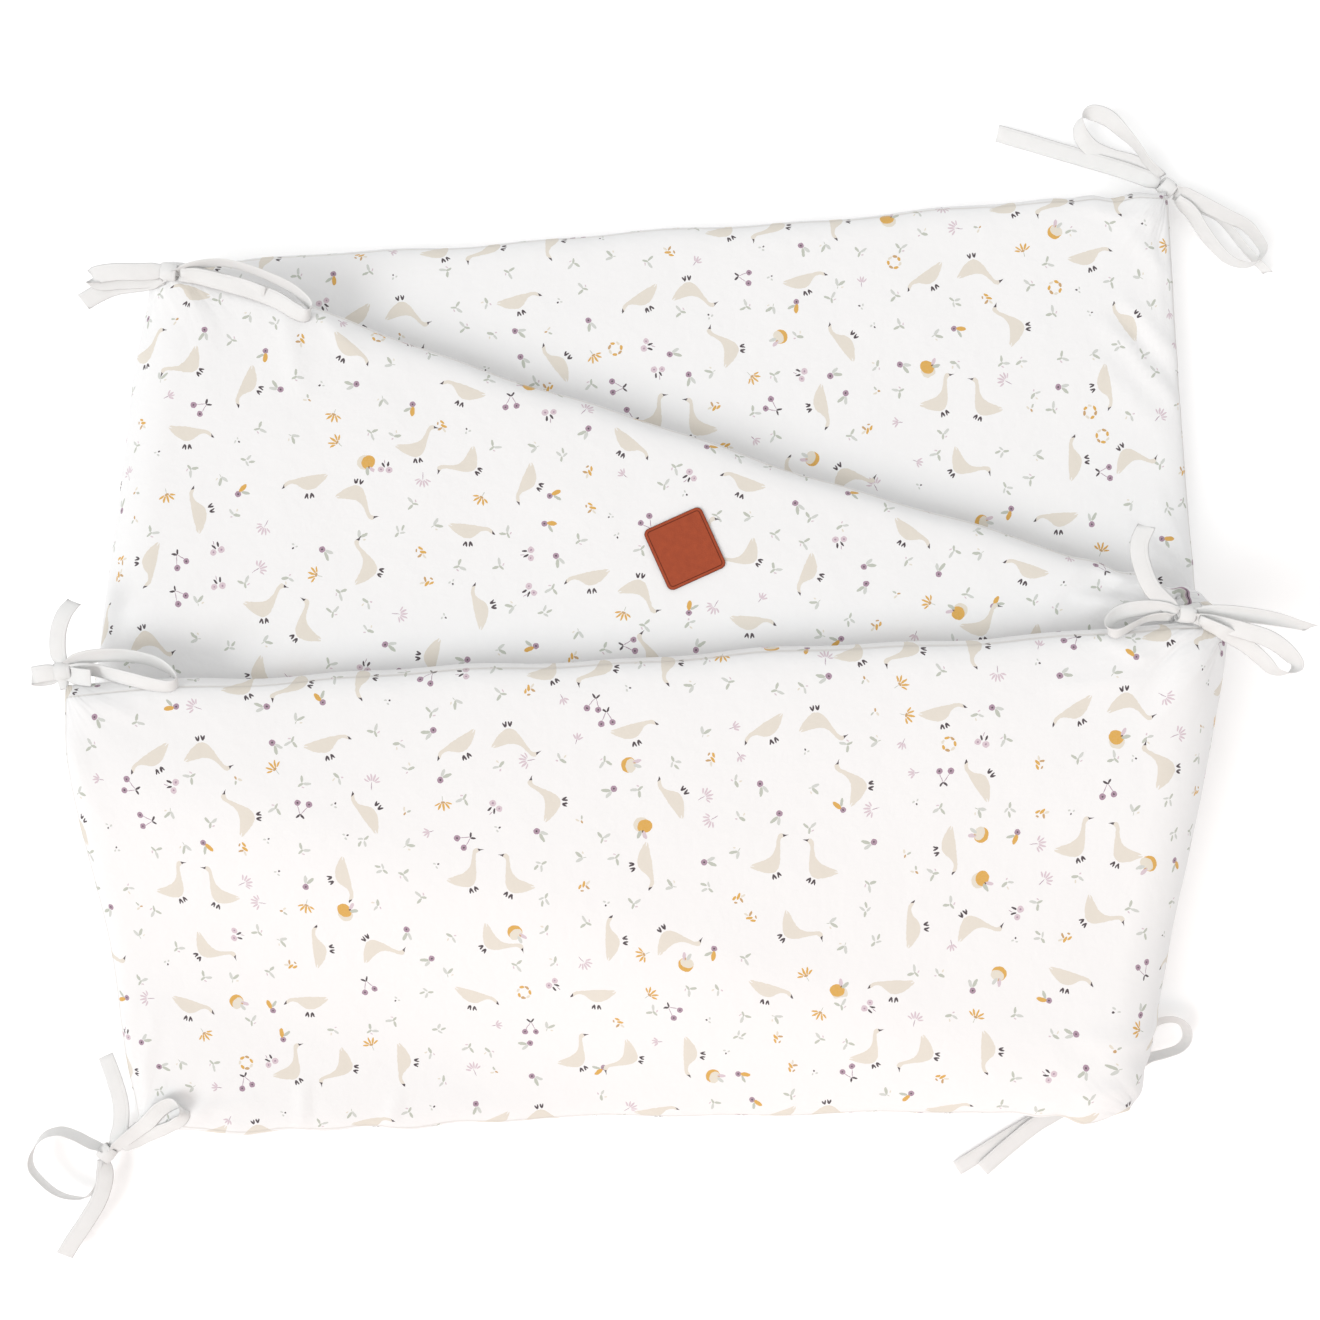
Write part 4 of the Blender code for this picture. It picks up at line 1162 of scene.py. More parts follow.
# %% Colours of the print
ink_number = floored(times(all_ink, float(INK_PLACES)))
ink_rows = [INKS[name] for name in INK_NAMES] + [INKS["cloth"]] * (INK_PLACES - len(INKS))
plain_colour, _ = table(ink_number, ink_rows)
inked = is_above(all_ink, 1.0 / INK_PLACES)
patchy = noisy(in_mm, PATCHY_SCALE, detail=4.0)[0]
lighter = times(times(patchy, PATCHY_SHARE), inked)
feed(layout_out.inputs["Colour"], blended(lighter, plain_colour, (*INKS["cloth"], 1.0), "RGBA"))
feed(layout_out.inputs["Inked"], inked)
print("layout group:", len(layout.nodes), "nodes")

# %% [markdown]
# ## Woven cotton
# Percale is a plain weave of fine threads. Two sine waves at right angles stand for the warp
# and the weft, and a stretched noise for threads that are thicker than their neighbours. The
# group gives a height for the bump, so one group serves the cloth and the tapes.

# %% The weave
SLUBS_ALONG = 60.0
SLUBS_ACROSS = 2400.0
weave, weave_in, weave_out = group(
    "plain weave",
    [("Point", "Vector", None), ("Threads", "Float", 2800.0), ("Slub", "Float", 0.5)],
    [("Height", "Float")],
)
phase = vector_calc("SCALE", weave_in.outputs["Point"])
phase_node = weave.nodes[-1]
feed(phase_node.inputs["Scale"], times(weave_in.outputs["Threads"], math.pi))
x, y, _ = split(phase)
warp = times(sine(x), sine(y))
slubs = plus(*(noisy(vector_calc("MULTIPLY", weave_in.outputs["Point"], stretch),
                     1.0)[0] for stretch in ((SLUBS_ALONG, SLUBS_ACROSS, 0.0), (SLUBS_ACROSS,
                                                                                SLUBS_ALONG,
                                                                                0.0))))
feed(weave_out.inputs["Height"], times_plus(slubs, weave_in.outputs["Slub"], times(warp, 0.5)))
print("weave group:", len(weave.nodes), "nodes")


# %% [markdown]
# ## The printed cotton
# Cotton is matt with a faint sheen from its fibres. The print gives the colour, and bumps give
# the weave, a fine crumple and the finest gathers at the ties, which the mesh is too coarse to
# hold. A thin darker line marks the seam round the edge.

# %% Printed cotton
def cloth_point(tree):
    """Where a point lies on its own cloth, in metres."""
    source = tree.nodes.new("ShaderNodeUVMap")
    source.uv_map = "cloth"
    return source.outputs[0]


def stored(tree, name):
    """A number that was stored on the points of the mesh."""
    made = tree.nodes.new("ShaderNodeAttribute")
    made.attribute_name = name
    return made.outputs["Fac"]


def bumped(height, strength, depth, under=None):
    """A bump of a height from 0 to 1 that is so deep, on top of another one."""
    made = fed_node("ShaderNodeBump", height)
    for socket, value in (("Strength", strength), ("Distance", depth), ("Height", height),
                          ("Normal", under)):
        feed(made.inputs[socket], value)
    return made.outputs[0]


def new_material(name, **finish):
    """A material whose shader has these numbers on its own sockets."""
    made = bpy.data.materials.new(name)
    made.use_nodes = True
    shader = made.node_tree.nodes["Principled BSDF"]
    for socket, value in finish.items():
        shader.inputs[socket.replace("_", " ")].default_value = value
    return made, made.node_tree, shader


def tone(red, green, blue):
    return (*ink(red, green, blue), 1)


GATHERS_ROUND = 5.0
GATHERS_ALONG = 14.0
GATHER_DEPTH = 7 * MM
SEAM_LINE_IN = 4.5 * MM
SEAM_LINE_WIDTH = 0.9 * MM
SEAM_LINE_DEPTH = 0.6 * MM
SEAM_TONE = tone(204, 198, 190)
CRUMPLE_SCALE = 90.0
CRUMPLE_DEPTH = 2.2 * MM
COTTON_THREADS = 2300.0
COTTON_THREAD_DEPTH = 0.08 * MM
cotton, tree, shader = new_material(
    "printed cotton", Roughness=0.92, Sheen_Weight=0.12, Sheen_Roughness=0.6,
    Specular_IOR_Level=0.25,
)
point = cloth_point(tree)
print_node = placed(layout, Point=point)
off_seam = absolute(minus(stored(tree, "from_seam"), SEAM_LINE_IN))
seam_line = fading(off_seam, SEAM_LINE_WIDTH)
feed(shader.inputs["Base Color"], blended(times(seam_line, 0.5), print_node.outputs["Colour"],
                                          SEAM_TONE, "RGBA"))
crumple = noisy(point, CRUMPLE_SCALE, detail=5.0, roughness=0.55)[0]
crumpled = bumped(crumple, 0.35, CRUMPLE_DEPTH)
crumpled = bumped(times(seam_line, -1.0), 0.6, SEAM_LINE_DEPTH, crumpled)
fan_place = joined(times(stored(tree, "fan"), GATHERS_ROUND), times(stored(tree, "from_tie"),
                                                                    GATHERS_ALONG), 0.0)
gathered = times(noisy(fan_place, 1.0)[0], stored(tree, "pull"))
crumpled = bumped(gathered, 1.0, GATHER_DEPTH, crumpled)
woven = placed(weave, Point=point, Threads=COTTON_THREADS, Slub=0.6).outputs[0]
feed(shader.inputs["Normal"], bumped(woven, 0.22, COTTON_THREAD_DEPTH, crumpled))
strip.data.materials.clear()
strip.data.materials.append(cotton)
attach(strip, "root")
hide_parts("bumper_pad")
print("printed cotton:", len(tree.nodes), "nodes")

# %% [markdown]
# ## Cotton tape
# The ties are white cotton tape, folded lengthwise and pressed. The weave is coarser than the
# cloth's. The turned-in edges show as a soft ridge along each side, and the stitching that holds
# them as a fine groove near one.

# %% Cotton tape
TAPE_WIDTH = 11 * MM
TAPE_THICKNESS = 0.8 * MM
FOLDED_IN = 1.8 * MM
FOLD_HEIGHT = 0.35
STITCH_AT = 3.4 * MM
STITCH_WIDTH = 0.5 * MM
STITCH_SINKS = 0.3
TAPE_RIDGE_DEPTH = 0.6 * MM
TAPE_TONES = tone(225, 225, 224), tone(232, 232, 231)
TAPE_TONE_SCALE = 120.0
TAPE_THREADS = 1500.0
TAPE_THREAD_DEPTH = 0.12 * MM
tape, tree, shader = new_material(
    "cotton tape", Roughness=0.9, Sheen_Weight=0.15, Sheen_Roughness=0.5, Specular_IOR_Level=0.25
)
point = cloth_point(tree)
feed(shader.inputs["Base Color"], blended(noisy(point, TAPE_TONE_SCALE)[0], *TAPE_TONES, "RGBA"))
_, across, _ = split(point)
off_edge = minus(TAPE_WIDTH / 2, absolute(across))
stitch = fading(absolute(minus(across, STITCH_AT)), STITCH_WIDTH)
ridge = smaller(fading(off_edge, FOLDED_IN), FOLD_HEIGHT)
ridge = minus(ridge, times(stitch, STITCH_SINKS))
woven = placed(weave, Point=point, Threads=TAPE_THREADS, Slub=0.7).outputs[0]
woven = bumped(woven, 0.35, TAPE_THREAD_DEPTH)
feed(shader.inputs["Normal"], bumped(ridge, 0.5, TAPE_RIDGE_DEPTH, woven))
print("cotton tape:", len(tree.nodes), "nodes")

# %% [markdown]
# ## The ties
# Eight tapes are sewn on at four places along the strip, on both edges. Each is tied in a bow:
# a knot, two loops and two tails. A first table says where each knot lies. Two ties lie hidden
# under the layers.

# %% The knots' table
TIES = (
    # name, along, edge, knot x, y and z in millimetres, the knot's turn, lies over the cloth
    ("tie_top_end_back", 0.0, 1, -371, -7, 91, 5, True),
    ("tie_top_end_front", 0.0, -1, -370, -330, 14, 50, True),
    ("tie_right_fold_back", RIGHT_APEX, 1, 324, 28, 98, -6, True),
    ("tie_right_fold_front", RIGHT_APEX, -1, 310, -290, 6, 40, False),
    ("tie_left_fold_back", LEFT_FOLD_START, 1, -311, 246, 72, -10, True),
    ("tie_left_fold_front", LEFT_APEX, -1, -352, -74, 24, -60, False),
    ("tie_bottom_end_back", STRIP_LENGTH, 1, 339, 316, 15, -38, True),
    ("tie_bottom_end_front", STRIP_LENGTH, -1, 352, -8, 10, -100, False),
)
print(len(TIES), "ties")

# %% [markdown]
# A second table gives the way of each loop and tail, as a few places that it passes, in
# millimetres from its knot. A place also says which way the tape's width points there: its turn
# seen from above, and how far it stands up on edge, in degrees. Where it says nothing, the width
# points as it did at the place before.

# %% The tapes' ways
WAYS = {
    "tie_top_end_back": (
        ("tail", (0, 3, 1, 0, 10), (-2, 12, 3), (-1, 25, 5, -5, 10), (3, 36, 5, -20, 15),
         (8, 43, 3, -25, 25)),
        ("loop", (0, -1, 2, 90, 15), (-8, -1, 3), (-15, -2, 2), (-19, -3, -1), (-16, -4, -4),
         (-9, -3, -4), (-2, -2, -2)),
        ("loop", (3, 4, 2, 90, 50), (13, 8, 4, 90, 45), (25, 10, 5, 90, 42),
         (40, 10, 4, 88, 42), (56, 7, 3, 80, 45), (69, 2, 2, 75, 50), (77, -5, 1, 75, 55),
         (73, -9, -1, 75, 50), (62, -8, -1, 80, 40), (48, -5, 0, 85, 35), (33, -2, 1, 90, 35),
         (18, 1, 2, 90, 40), (4, 1, 1, 90, 50)),
        ("tail", (2, -1, -1, 90, 10), (10, -3, -2), (21, -4, -3)),
    ),
    "tie_left_fold_back": (
        ("loop", (-2, 0, 2, 90, 25), (-17, -1, 3), (-32, -1, 3), (-44, -2, 1), (-48, -4, -1),
         (-44, -6, -3), (-32, -5, -4), (-12, -4, -3), (-3, -2, -2)),
        ("tail", (-5, -4, -3, 100, 15), (-19, -6, -5, 105, 20), (-36, -8, -7, 108, 25),
         (-48, -12, -9), (-58, -17, -11)),
        ("loop", (5, -1, 1, 66, 65), (19, 3, 5, 66, 75), (35, 4, 7), (50, 1, 7, 66, 72),
         (66, -5, 6, 66, 68), (80, -12, 4, 64, 62), (90, -22, 2, 60, 55), (88, -28, -1, 60, 45),
         (81, -26, -1, 62, 30), (68, -18, 0, 66, 18), (52, -12, 1, 66, 15), (37, -8, 2, 66, 18),
         (21, -4, 2, 66, 30), (8, -2, 1, 66, 50)),
        ("tail", (6, -2, -4, 66, 25), (21, -3, -7, 66, 30), (37, -7, -8, 66, 35),
         (51, -11, -8, 64, 35), (61, -15, -8, 62, 35)),
    ),
    "tie_bottom_end_back": (
        ("tail", (-5, 3, 0, 72, 10), (-31, 13, -2), (-70, 26, -6, 72, 12),
         (-93, 34, -9, 72, 20), (-111, 40, -11, 72, 30)),
        ("loop", (-5, 7, 2, 49, 70), (-14, 15, 5, 49, 82), (-22, 25, 7), (-32, 35, 8, 49, 62),
         (-42, 44, 8, 49, 38), (-52, 48, 6, 52, 42), (-58, 45, 4, 60, 55), (-58, 36, 1, 60, 45),
         (-50, 27, -2, 60, 22), (-36, 21, -3, 64, 15), (-20, 16, -2, 64, 20),
         (-6, 5, 0, 55, 40)),
        ("loop", (5, -2, 2, 52, 50), (20, -11, 5, 55, 50), (37, -20, 6, 60, 58),
         (51, -27, 6, 58, 68), (60, -36, 4, 50, 76), (64, -43, 2, 45, 79), (60, -50, 1, 45, 80),
         (52, -52, 0, 45, 79), (41, -48, 0, 45, 75), (31, -38, 0, 42, 68), (23, -28, 1, 42, 62),
         (16, -17, 1, 45, 60), (6, -8, 1, 52, 60)),
        ("tail", (6, -4, -1, 52, 50), (23, -13, -2, 52, 75), (38, -21, -3, 52, 84),
         (54, -39, -5, 52, 85), (70, -55, -7, 52, 84)),
    ),
    "tie_right_fold_back": (
        ("tail", (-6, 1, 2, 50, 20), (-15, 8, 6, 50, 10), (-24, 17, 9, 40, 5),
         (-29, 28, 10, 20, 5), (-31, 38, 9, 6, 10), (-30, 46, 8, 10, 12), (-26, 54, 7, 18, 14)),
        ("tail", (5, 1, 1, 90, 30), (26, 1, 3, 88, 30), (51, -2, 2, 80, 42),
         (69, -6, 0, 75, 62), (78, -8, -2, 75, 70)),
        ("loop", (5, -2, 1, 63, 45), (20, -6, 4, 63, 30), (34, -10, 6, 63, 22),
         (49, -15, 7, 58, 25), (61, -23, 5, 45, 42), (68, -31, 2, 30, 62), (64, -36, 0, 30, 72),
         (56, -35, -2, 40, 66), (49, -28, -3, 48, 52), (38, -19, -2, 58, 45),
         (22, -11, 0, 62, 50), (7, -4, 0, 63, 60)),
        ("loop", (-6, 2, 2, 96, 50), (-21, 4, 5, 98, 35), (-35, 3, 6, 105, 25),
         (-46, -1, 5, 115, 28), (-51, -8, 2, 125, 40), (-46, -12, -1, 120, 55),
         (-36, -8, 0, 110, 62), (-22, -2, 1, 105, 65), (-7, -1, 0, 96, 60)),
    ),
    "tie_top_end_front": (
        ("tail", (4, 4, 1, 0, 15), (10, 18, 4, 0, 8), (11, 34, 6, 8, 5), (7, 50, 6, 12, 5),
         (0, 66, 3, 12, 12)),
        ("loop", (4, 2, 2, 132, 50), (16, 12, 7, 132, 35), (31, 24, 10, 132, 22),
         (43, 36, 10, 130, 18), (53, 40, 8, 120, 30), (59, 34, 5, 115, 48), (53, 26, 2, 120, 45),
         (42, 20, 1, 125, 35), (28, 12, 1, 130, 35), (12, 2, 0, 132, 50)),
        ("loop", (-3, 3, 2, 240, 70), (-12, 8, 3, 250, 74), (-21, 13, 4, 262, 74),
         (-31, 16, 5, 287, 72), (-42, 12, 5, 314, 72), (-49, 1, 4, 342, 84), (-50, -9, 2, 5, 88),
         (-44, -18, 1, 31, 88), (-35, -26, 0, 64, 87), (-25, -30, -1, 93, 84),
         (-14, -30, -2, 121, 78), (-6, -21, -2, 150, 74), (-2, -6, -1, 185, 72)),
        ("tail", (-2, -4, 1, 160, 25), (-1, -17, 2, 165, 15), (-5, -31, 2, 155, 8),
         (-14, -46, 1, 150, 6), (-23, -59, -1, 150, 8), (-30, -70, -4, 150, 15)),
    ),
    "tie_right_fold_front": (
        ("loop", (1, 3, 0, 170, 40), (6, 20, 1, 160, 40), (15, 39, 3, 135, 42),
         (24, 47, 5, 112, 46), (34, 49, 6, 80, 56), (42, 45, 6, 35, 66), (44, 36, 5, 0, 74),
         (39, 29, 4, -50, 76), (29, 25, 3, -80, 73), (17, 21, 2, -85, 70), (7, 10, 0, -70, 60),
         (1, 1, 0, -60, 50)),
        ("tail", (-1, -1, -2, 124, 3), (-30, -8, -3), (-56, -22, -4, 126, 3),
         (-83, -38, -4, 128, 5), (-109, -54, -4, 126, 8)),
        ("tail", (-1, -1, 0, 130, 3), (-29, -9, -1), (-54, -22, -1, 133, 3),
         (-74, -38, -2, 135, 5), (-92, -54, -2, 137, 8)),
    ),
    "tie_left_fold_front": (
        ("tail", (0, 0, 0, 32, 10), (12, -18, -2), (26, -36, -8), (40, -53, -18)),
        ("tail", (0, 0, 0, -2, 10), (-1, -21, -2), (-4, -41, -8), (-8, -62, -18)),
        ("loop", (0, 1, 2, 66, -30), (22, -5, 9), (40, -10, 6), (52, -15, -3), (55, -20, -12),
         (49, -22, -16), (36, -20, -12), (19, -12, -5), (0, -1, -2)),
        ("loop", (1, 0, 2, 15, -30), (10, -21, 9), (16, -40, 6), (18, -53, -3), (16, -58, -12),
         (11, -54, -16), (6, -42, -12), (2, -23, -5), (-1, 0, -2)),
    ),
    "tie_bottom_end_front": (
        ("tail", (0, 0, 0, -28, 0), (-10, -20, 0), (-19, -40, -2), (-27, -61, -4)),
        ("tail", (0, 0, 0, -60, 0), (-20, -11, 0), (-42, -21, -2), (-63, -31, -4)),
        ("loop", (1, 0, 2, -10, -40), (2, -21, 6), (1, -39, 7), (-2, -50, 5), (-6, -54, 0),
         (-10, -49, -5), (-11, -37, -7), (-8, -20, -6), (-1, 0, -2)),
        ("loop", (0, -1, 2, -75, -40), (-19, -10, 6), (-37, -16, 7), (-49, -17, 5),
         (-54, -14, 0), (-51, -9, -5), (-40, -4, -7), (-22, -1, -6), (0, 1, -2)),
    ),
}
print(sum(len(ways) for ways in WAYS.values()), "loops and tails")

# %% [markdown]
# A smooth curve goes through the places. Where it would pass through the cloth it is raised
# until the tape's edges lie clear, easing up and down on both sides.

# %% A smooth way for the tape
TAPE_STEP = 1.7 * MM
END_STEP = 0.4 * MM
EASE_SLOPE = 0.7
CLEARANCE = 0.5 * MM
FLUTTER = 0.35 * MM
FLUTTERS = 60  # in each metre
SMOOTHINGS = 6


def way_along(points):
    """How far each point is along the line through them."""
    steps = np.linalg.norm(np.diff(points, axis=0), axis=1)
    return np.concatenate([[0.0], np.cumsum(steps)])


def smooth_way(places, seed):
    """The middle line of a tape through its places, in even steps, and its width's direction."""
    rows, facing = [], ()
    for x, y, z, *own_facing in places:
        facing = own_facing or facing
        rows.append((x, y, z, *facing))
    rows = np.array(rows, float)
    turn, rise = np.radians(rows[:, 3:]).T
    widths = np.stack([np.cos(rise) * np.cos(turn), np.cos(rise) * np.sin(turn), np.sin(rise)], 1)
    nodes = np.hstack([rows[:, :3] * MM, widths])
    ends = np.vstack([2 * nodes[0] - nodes[1], nodes, 2 * nodes[-1] - nodes[-2]])
    t = np.linspace(0, 1, 10, endpoint=False)[:, None]
    pieces = [
        start + (end - before) * t / 2 + (before - 2.5 * start + 2 * end - after / 2) * t**2
        + (1.5 * start - before / 2 - 1.5 * end + after / 2) * t**3
        for before, start, end, after in zip(ends, ends[1:], ends[2:], ends[3:])
    ]
    fine = np.vstack([*pieces, nodes[-1:]])
    along = way_along(fine[:, :3])
    even = np.linspace(0, along[-1], max(6, round(along[-1] / TAPE_STEP)) + 1)
    even[1], even[-2] = END_STEP, along[-1] - END_STEP
    way = np.stack([np.interp(even, along, fine[:, k]) for k in range(6)], 1)
    way[:, 2] += [FLUTTER * noise.noise((at * FLUTTERS, seed, 0.5)) for at in even]
    return way[:, :3], way[:, 3:]


def surface_under(x, y):
    """How high the pad's upper side is there, or the floor beside it."""
    hit, _, _, _ = pad_tree.ray_cast(Vector((x, y, 1.0)), Vector((0, 0, -1)))
    return hit.z if hit else 0.0


def lifted_clear(route, widths, over):
    """The route raised, with easy slopes, to where the tape's edges clear the cloth."""
    need = []
    for point, width in zip(route, widths):
        short = 0.0
        for share in (-0.5, -0.25, 0.0, 0.25, 0.5):
            edge = point + width * TAPE_WIDTH * share
            ground = surface_under(edge[0], edge[1]) if over else 0.0
            short = max(short, ground + CLEARANCE + TAPE_THICKNESS / 2 - edge[2])
        need.append(short)
    along = way_along(route[:, :2])
    apart = np.abs(along[:, None] - along[None, :])
    lift = (np.array(need)[None, :] - EASE_SLOPE * apart).max(axis=1)
    lifted = route.copy()
    lifted[:, 2] += np.maximum(lift, 0.0)
    for _ in range(SMOOTHINGS):
        even = (lifted[:-2, 2] + lifted[2:, 2]) / 2
        lifted[1:-1, 2] = np.maximum(even, lifted[1:-1, 2])
    return lifted


print("a tape has a step every", TAPE_STEP * 1000, "mm")

# %% [markdown]
# ## Laying a tape
# A tape starts as two flat grids, its upper and its lower side. Their points are moved to their
# places along the way, thickest in the middle, and the sides are joined round the edge, so the
# folded edges come out soft. The knot squeezes the tape, so it is narrower and more cupped there.

# %% Laying a tape
CUP = 0.25 * MM
KNOT_CUP = 1.6 * MM
CUP_TURNS_AT = 0.4
TAPE_COLUMNS = 6
TAPE_FLATNESS = 6
ENDS_JOINED_WITHIN = 1e-6
SQUEEZE = 0.7
SQUEEZE_REACH = 8 * MM


def unit(v):
    return v / max(np.linalg.norm(v), 1e-9)


def lay_tape(knotted, cloth, route, widths, squeezed, cup=CUP):
    """Adds one tape along a route. Squeezed says at which ends it goes into a knot."""
    steps = len(route) - 1
    along = way_along(route)
    to_knot = np.full(steps + 1, 1.0)
    if squeezed[0]:
        to_knot = np.minimum(to_knot, along)
    if squeezed[1]:
        to_knot = np.minimum(to_knot, along[-1] - along)
    ease = smooth_step(to_knot / SQUEEZE_REACH)
    tangents = np.gradient(route, axis=0)
    both = []
    for upper in (1, -1):
        grid = bmesh.ops.create_grid(knotted, x_segments=steps, y_segments=TAPE_COLUMNS, size=1.0)
        faces = list({f for v in grid["verts"] for f in v.link_faces})
        where = {v: (round((v.co.x + 1) / 2 * steps), math.sin(math.pi / 2 * v.co.y))
                 for v in grid["verts"]}
        lay_print(cloth, faces, lambda vertex: (along[where[vertex][0]],
                                                where[vertex][1] * TAPE_WIDTH / 2))
        for vertex, (step, side) in where.items():
            tangent = unit(tangents[step])
            wide = np.linalg.norm(widths[step]) * (SQUEEZE + (1 - SQUEEZE) * ease[step])
            across = unit(widths[step] - tangent * (widths[step] @ tangent))
            outward = np.cross(tangent, across)
            thick = upper * TAPE_THICKNESS / 2 * math.sqrt(max(0.0, 1 - side**TAPE_FLATNESS))
            thick *= 0.0 if step in (0, steps) else 1.0
            bend = (cup + (1 - ease[step]) * KNOT_CUP) * (side**2 - CUP_TURNS_AT)
            vertex.co = (route[step] + across * side * wide * TAPE_WIDTH / 2
                         + outward * (bend + thick))
        if upper < 0:
            bmesh.ops.reverse_faces(knotted, faces=faces)
        both += grid["verts"]
    bmesh.ops.remove_doubles(knotted, verts=both, dist=ENDS_JOINED_WITHIN)
    return along[-1]


# %% [markdown]
# ## The knot
# A bow's knot is the tape wrapped once round the others, full width, with its edges drawn in.
# A ring of tape goes round the place where the loops and tails meet, over a small soft core.

# %% Knots
WRAP_STEPS = 40
WRAP = (5.2, 4.4)
WRAP_WIDTH = 0.95
WRAP_UNEVEN = 0.16
WRAP_CUP = -0.8 * MM
WRAP_SLANT = 0.7 * MM
CORE_BUMPS = 260  # how fine the core's unevenness is
CORES_APART = 90  # and how far each knot's is from the next one's
WRAPS_APART = 50
CORE = (9 * MM, 9 * MM, 7.6 * MM)


def wrap_knot(knotted, cloth, centre, turn):
    """Adds the ring and the core of one knot. Returns the length of tape in it."""
    core = bmesh.ops.create_icosphere(knotted, subdivisions=3, radius=0.5)["verts"]
    bmesh.ops.scale(knotted, vec=CORE, verts=core)
    for vertex in core:
        at = vertex.co * CORE_BUMPS + Vector(centre) * CORES_APART
        vertex.co *= 1 + WRAP_UNEVEN * noise.noise(at)
    bmesh.ops.rotate(knotted, verts=core, cent=(0, 0, 0), matrix=Matrix.Rotation(turn, 3, "Z"))
    bmesh.ops.translate(knotted, verts=core, vec=centre)
    axis = np.array((*direction(turn), 0.0))
    sideways = np.array((-axis[1], axis[0], 0.0))
    around = np.linspace(-math.pi / 2, 1.5 * math.pi, WRAP_STEPS + 1)
    apart = centre[0] * WRAPS_APART
    uneven = np.array([1 + WRAP_UNEVEN * noise.noise((math.cos(a), math.sin(a),
                                                      apart)) for a in around])
    ring = (centre + np.outer(np.cos(around) * uneven * WRAP[0] * MM, sideways)
            + np.outer(np.sin(around) * uneven * WRAP[1] * MM, (0.0, 0.0, 1.0)))
    ring += np.outer(WRAP_SLANT * np.sin(around), axis)
    ring[:, 2] = np.maximum(ring[:, 2], TAPE_THICKNESS)
    widths = np.repeat(axis[None, :] * WRAP_WIDTH, WRAP_STEPS + 1, axis=0)
    return lay_tape(knotted, cloth, ring, widths, (False, False), cup=WRAP_CUP)


# %% [markdown]
# ## Tying all eight
# Each tie is one object. The length of tape that went into it is added up and printed.

# %% The ties
ROOT_GATHER = 0.4


def root_route(seat, centre):
    """The short tape from the seam to the knot, gathered where it is sewn on."""
    t = np.linspace(0.0, 1.0, 9)
    route = seat + np.outer(t, centre - seat)
    side = unit(np.cross(centre - seat, (0.0, 0.0, 1.0)))
    return route, np.outer(ROOT_GATHER + (1 - ROOT_GATHER) * t, side)


def knot_height(centre):
    """How high a knot's middle has to be to lie clear on what is under it."""
    highest = 0.0
    for share in (0.0, 0.5, 0.9):
        for angle in np.linspace(0.0, 2 * math.pi, 8, endpoint=False):
            spot = centre[:2] + direction(angle) * share * CORE[0] / 2
            below = CORE[2] / 2 * math.sqrt(1 - share**2)
            highest = max(highest, surface_under(*spot) + CLEARANCE + below)
    return highest


def tie_a_bow(name, along, edge, knot_at, turn, over):
    """One tie, from the seam over the knot to its loops and tails, and the tape's length."""
    across = edge * HALF_WIDTH
    seat_u = np.array([along + across * float(skew_at(along))])
    seat = strip_point(seat_u, np.array([across]), np.array([0.0]))[0]
    centre = np.array(knot_at) * MM - np.array((*CENTRE, 0.0))
    if over:
        centre[2] = max(centre[2], knot_height(centre))
    knotted = bmesh.new()
    cloth = knotted.loops.layers.uv.new("cloth")
    length = wrap_knot(knotted, cloth, centre, turn)
    length += lay_tape(knotted, cloth, *root_route(seat, centre), (False, True))
    first = sum(len(ways) for ways in list(WAYS.values())[:list(WAYS).index(name)])
    for number, (kind, *places) in enumerate(WAYS[name], first):
        route, widths = smooth_way(places, number)
        route = lifted_clear(route + centre, widths, over)
        length += lay_tape(knotted, cloth, route, widths, (True, kind == "loop"))
    bmesh.ops.recalc_face_normals(knotted, faces=knotted.faces)
    made = new_object(name + "_tape", knotted)
    made.data.shade_smooth()
    made.data.materials.append(tape)
    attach(made, "root")
    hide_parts(name)
    return made, length


for name, along, edge, x, y, z, turn, over in TIES:
    made, length = tie_a_bow(name, along, edge, (x, y, z), math.radians(turn), over)
    print(f"{name}: {length:.3f} m of tape, {len(made.data.polygons)} faces")

# %% [markdown]
# ## The leather patch
# The patch is a rounded square of vegetable-tanned leather, stuck and pressed on the cloth. Its
# edge is burnt darker and a line is pressed just inside it. A bevelled slab is cut into strips
# so that it can bend, and then laid on the pad.

# %% The patch's shape
PATCH_SIZE = (40 * MM, 42 * MM)
PATCH_THICKNESS = 1.6 * MM
PATCH_CORNER = 4 * MM
PATCH_AT = (15.7 * MM, 70.3 * MM)
PATCH_TURN = math.radians(24.3)
LINE_IN = 1.9 * MM
LINE_WIDTH = 0.5 * MM
LINE_DEPTH = 0.25 * MM
LINE_TO_MIDDLE = 1.2 * MM
RIM_ROUND = 0.45 * MM
slab = bmesh.new()
bmesh.ops.create_cube(slab, size=1.0)
bmesh.ops.scale(slab, vec=(*PATCH_SIZE, PATCH_THICKNESS), verts=slab.verts)
upright = [e for e in slab.edges if abs(e.verts[0].co.z - e.verts[1].co.z) > PATCH_THICKNESS / 2]
bmesh.ops.bevel(slab, geom=upright, offset=PATCH_CORNER, segments=8, profile=0.5,
                affect="EDGES", material=-1)
top = max(slab.faces, key=lambda f: f.calc_center_median().z)
bmesh.ops.bevel(slab, geom=list(top.edges), offset=RIM_ROUND, segments=3, profile=0.5,
                affect="EDGES", material=-1)
top = max(slab.faces, key=lambda f: (round(f.calc_center_median().z, 6), f.calc_area()))
for inset, depth in ((LINE_IN - RIM_ROUND, 0.0), (LINE_WIDTH / 2, -LINE_DEPTH),
                     (LINE_WIDTH / 2, LINE_DEPTH), (LINE_TO_MIDDLE, 0.0)):
    bmesh.ops.inset_region(slab, faces=[top], thickness=inset, depth=depth, use_even_offset=True)
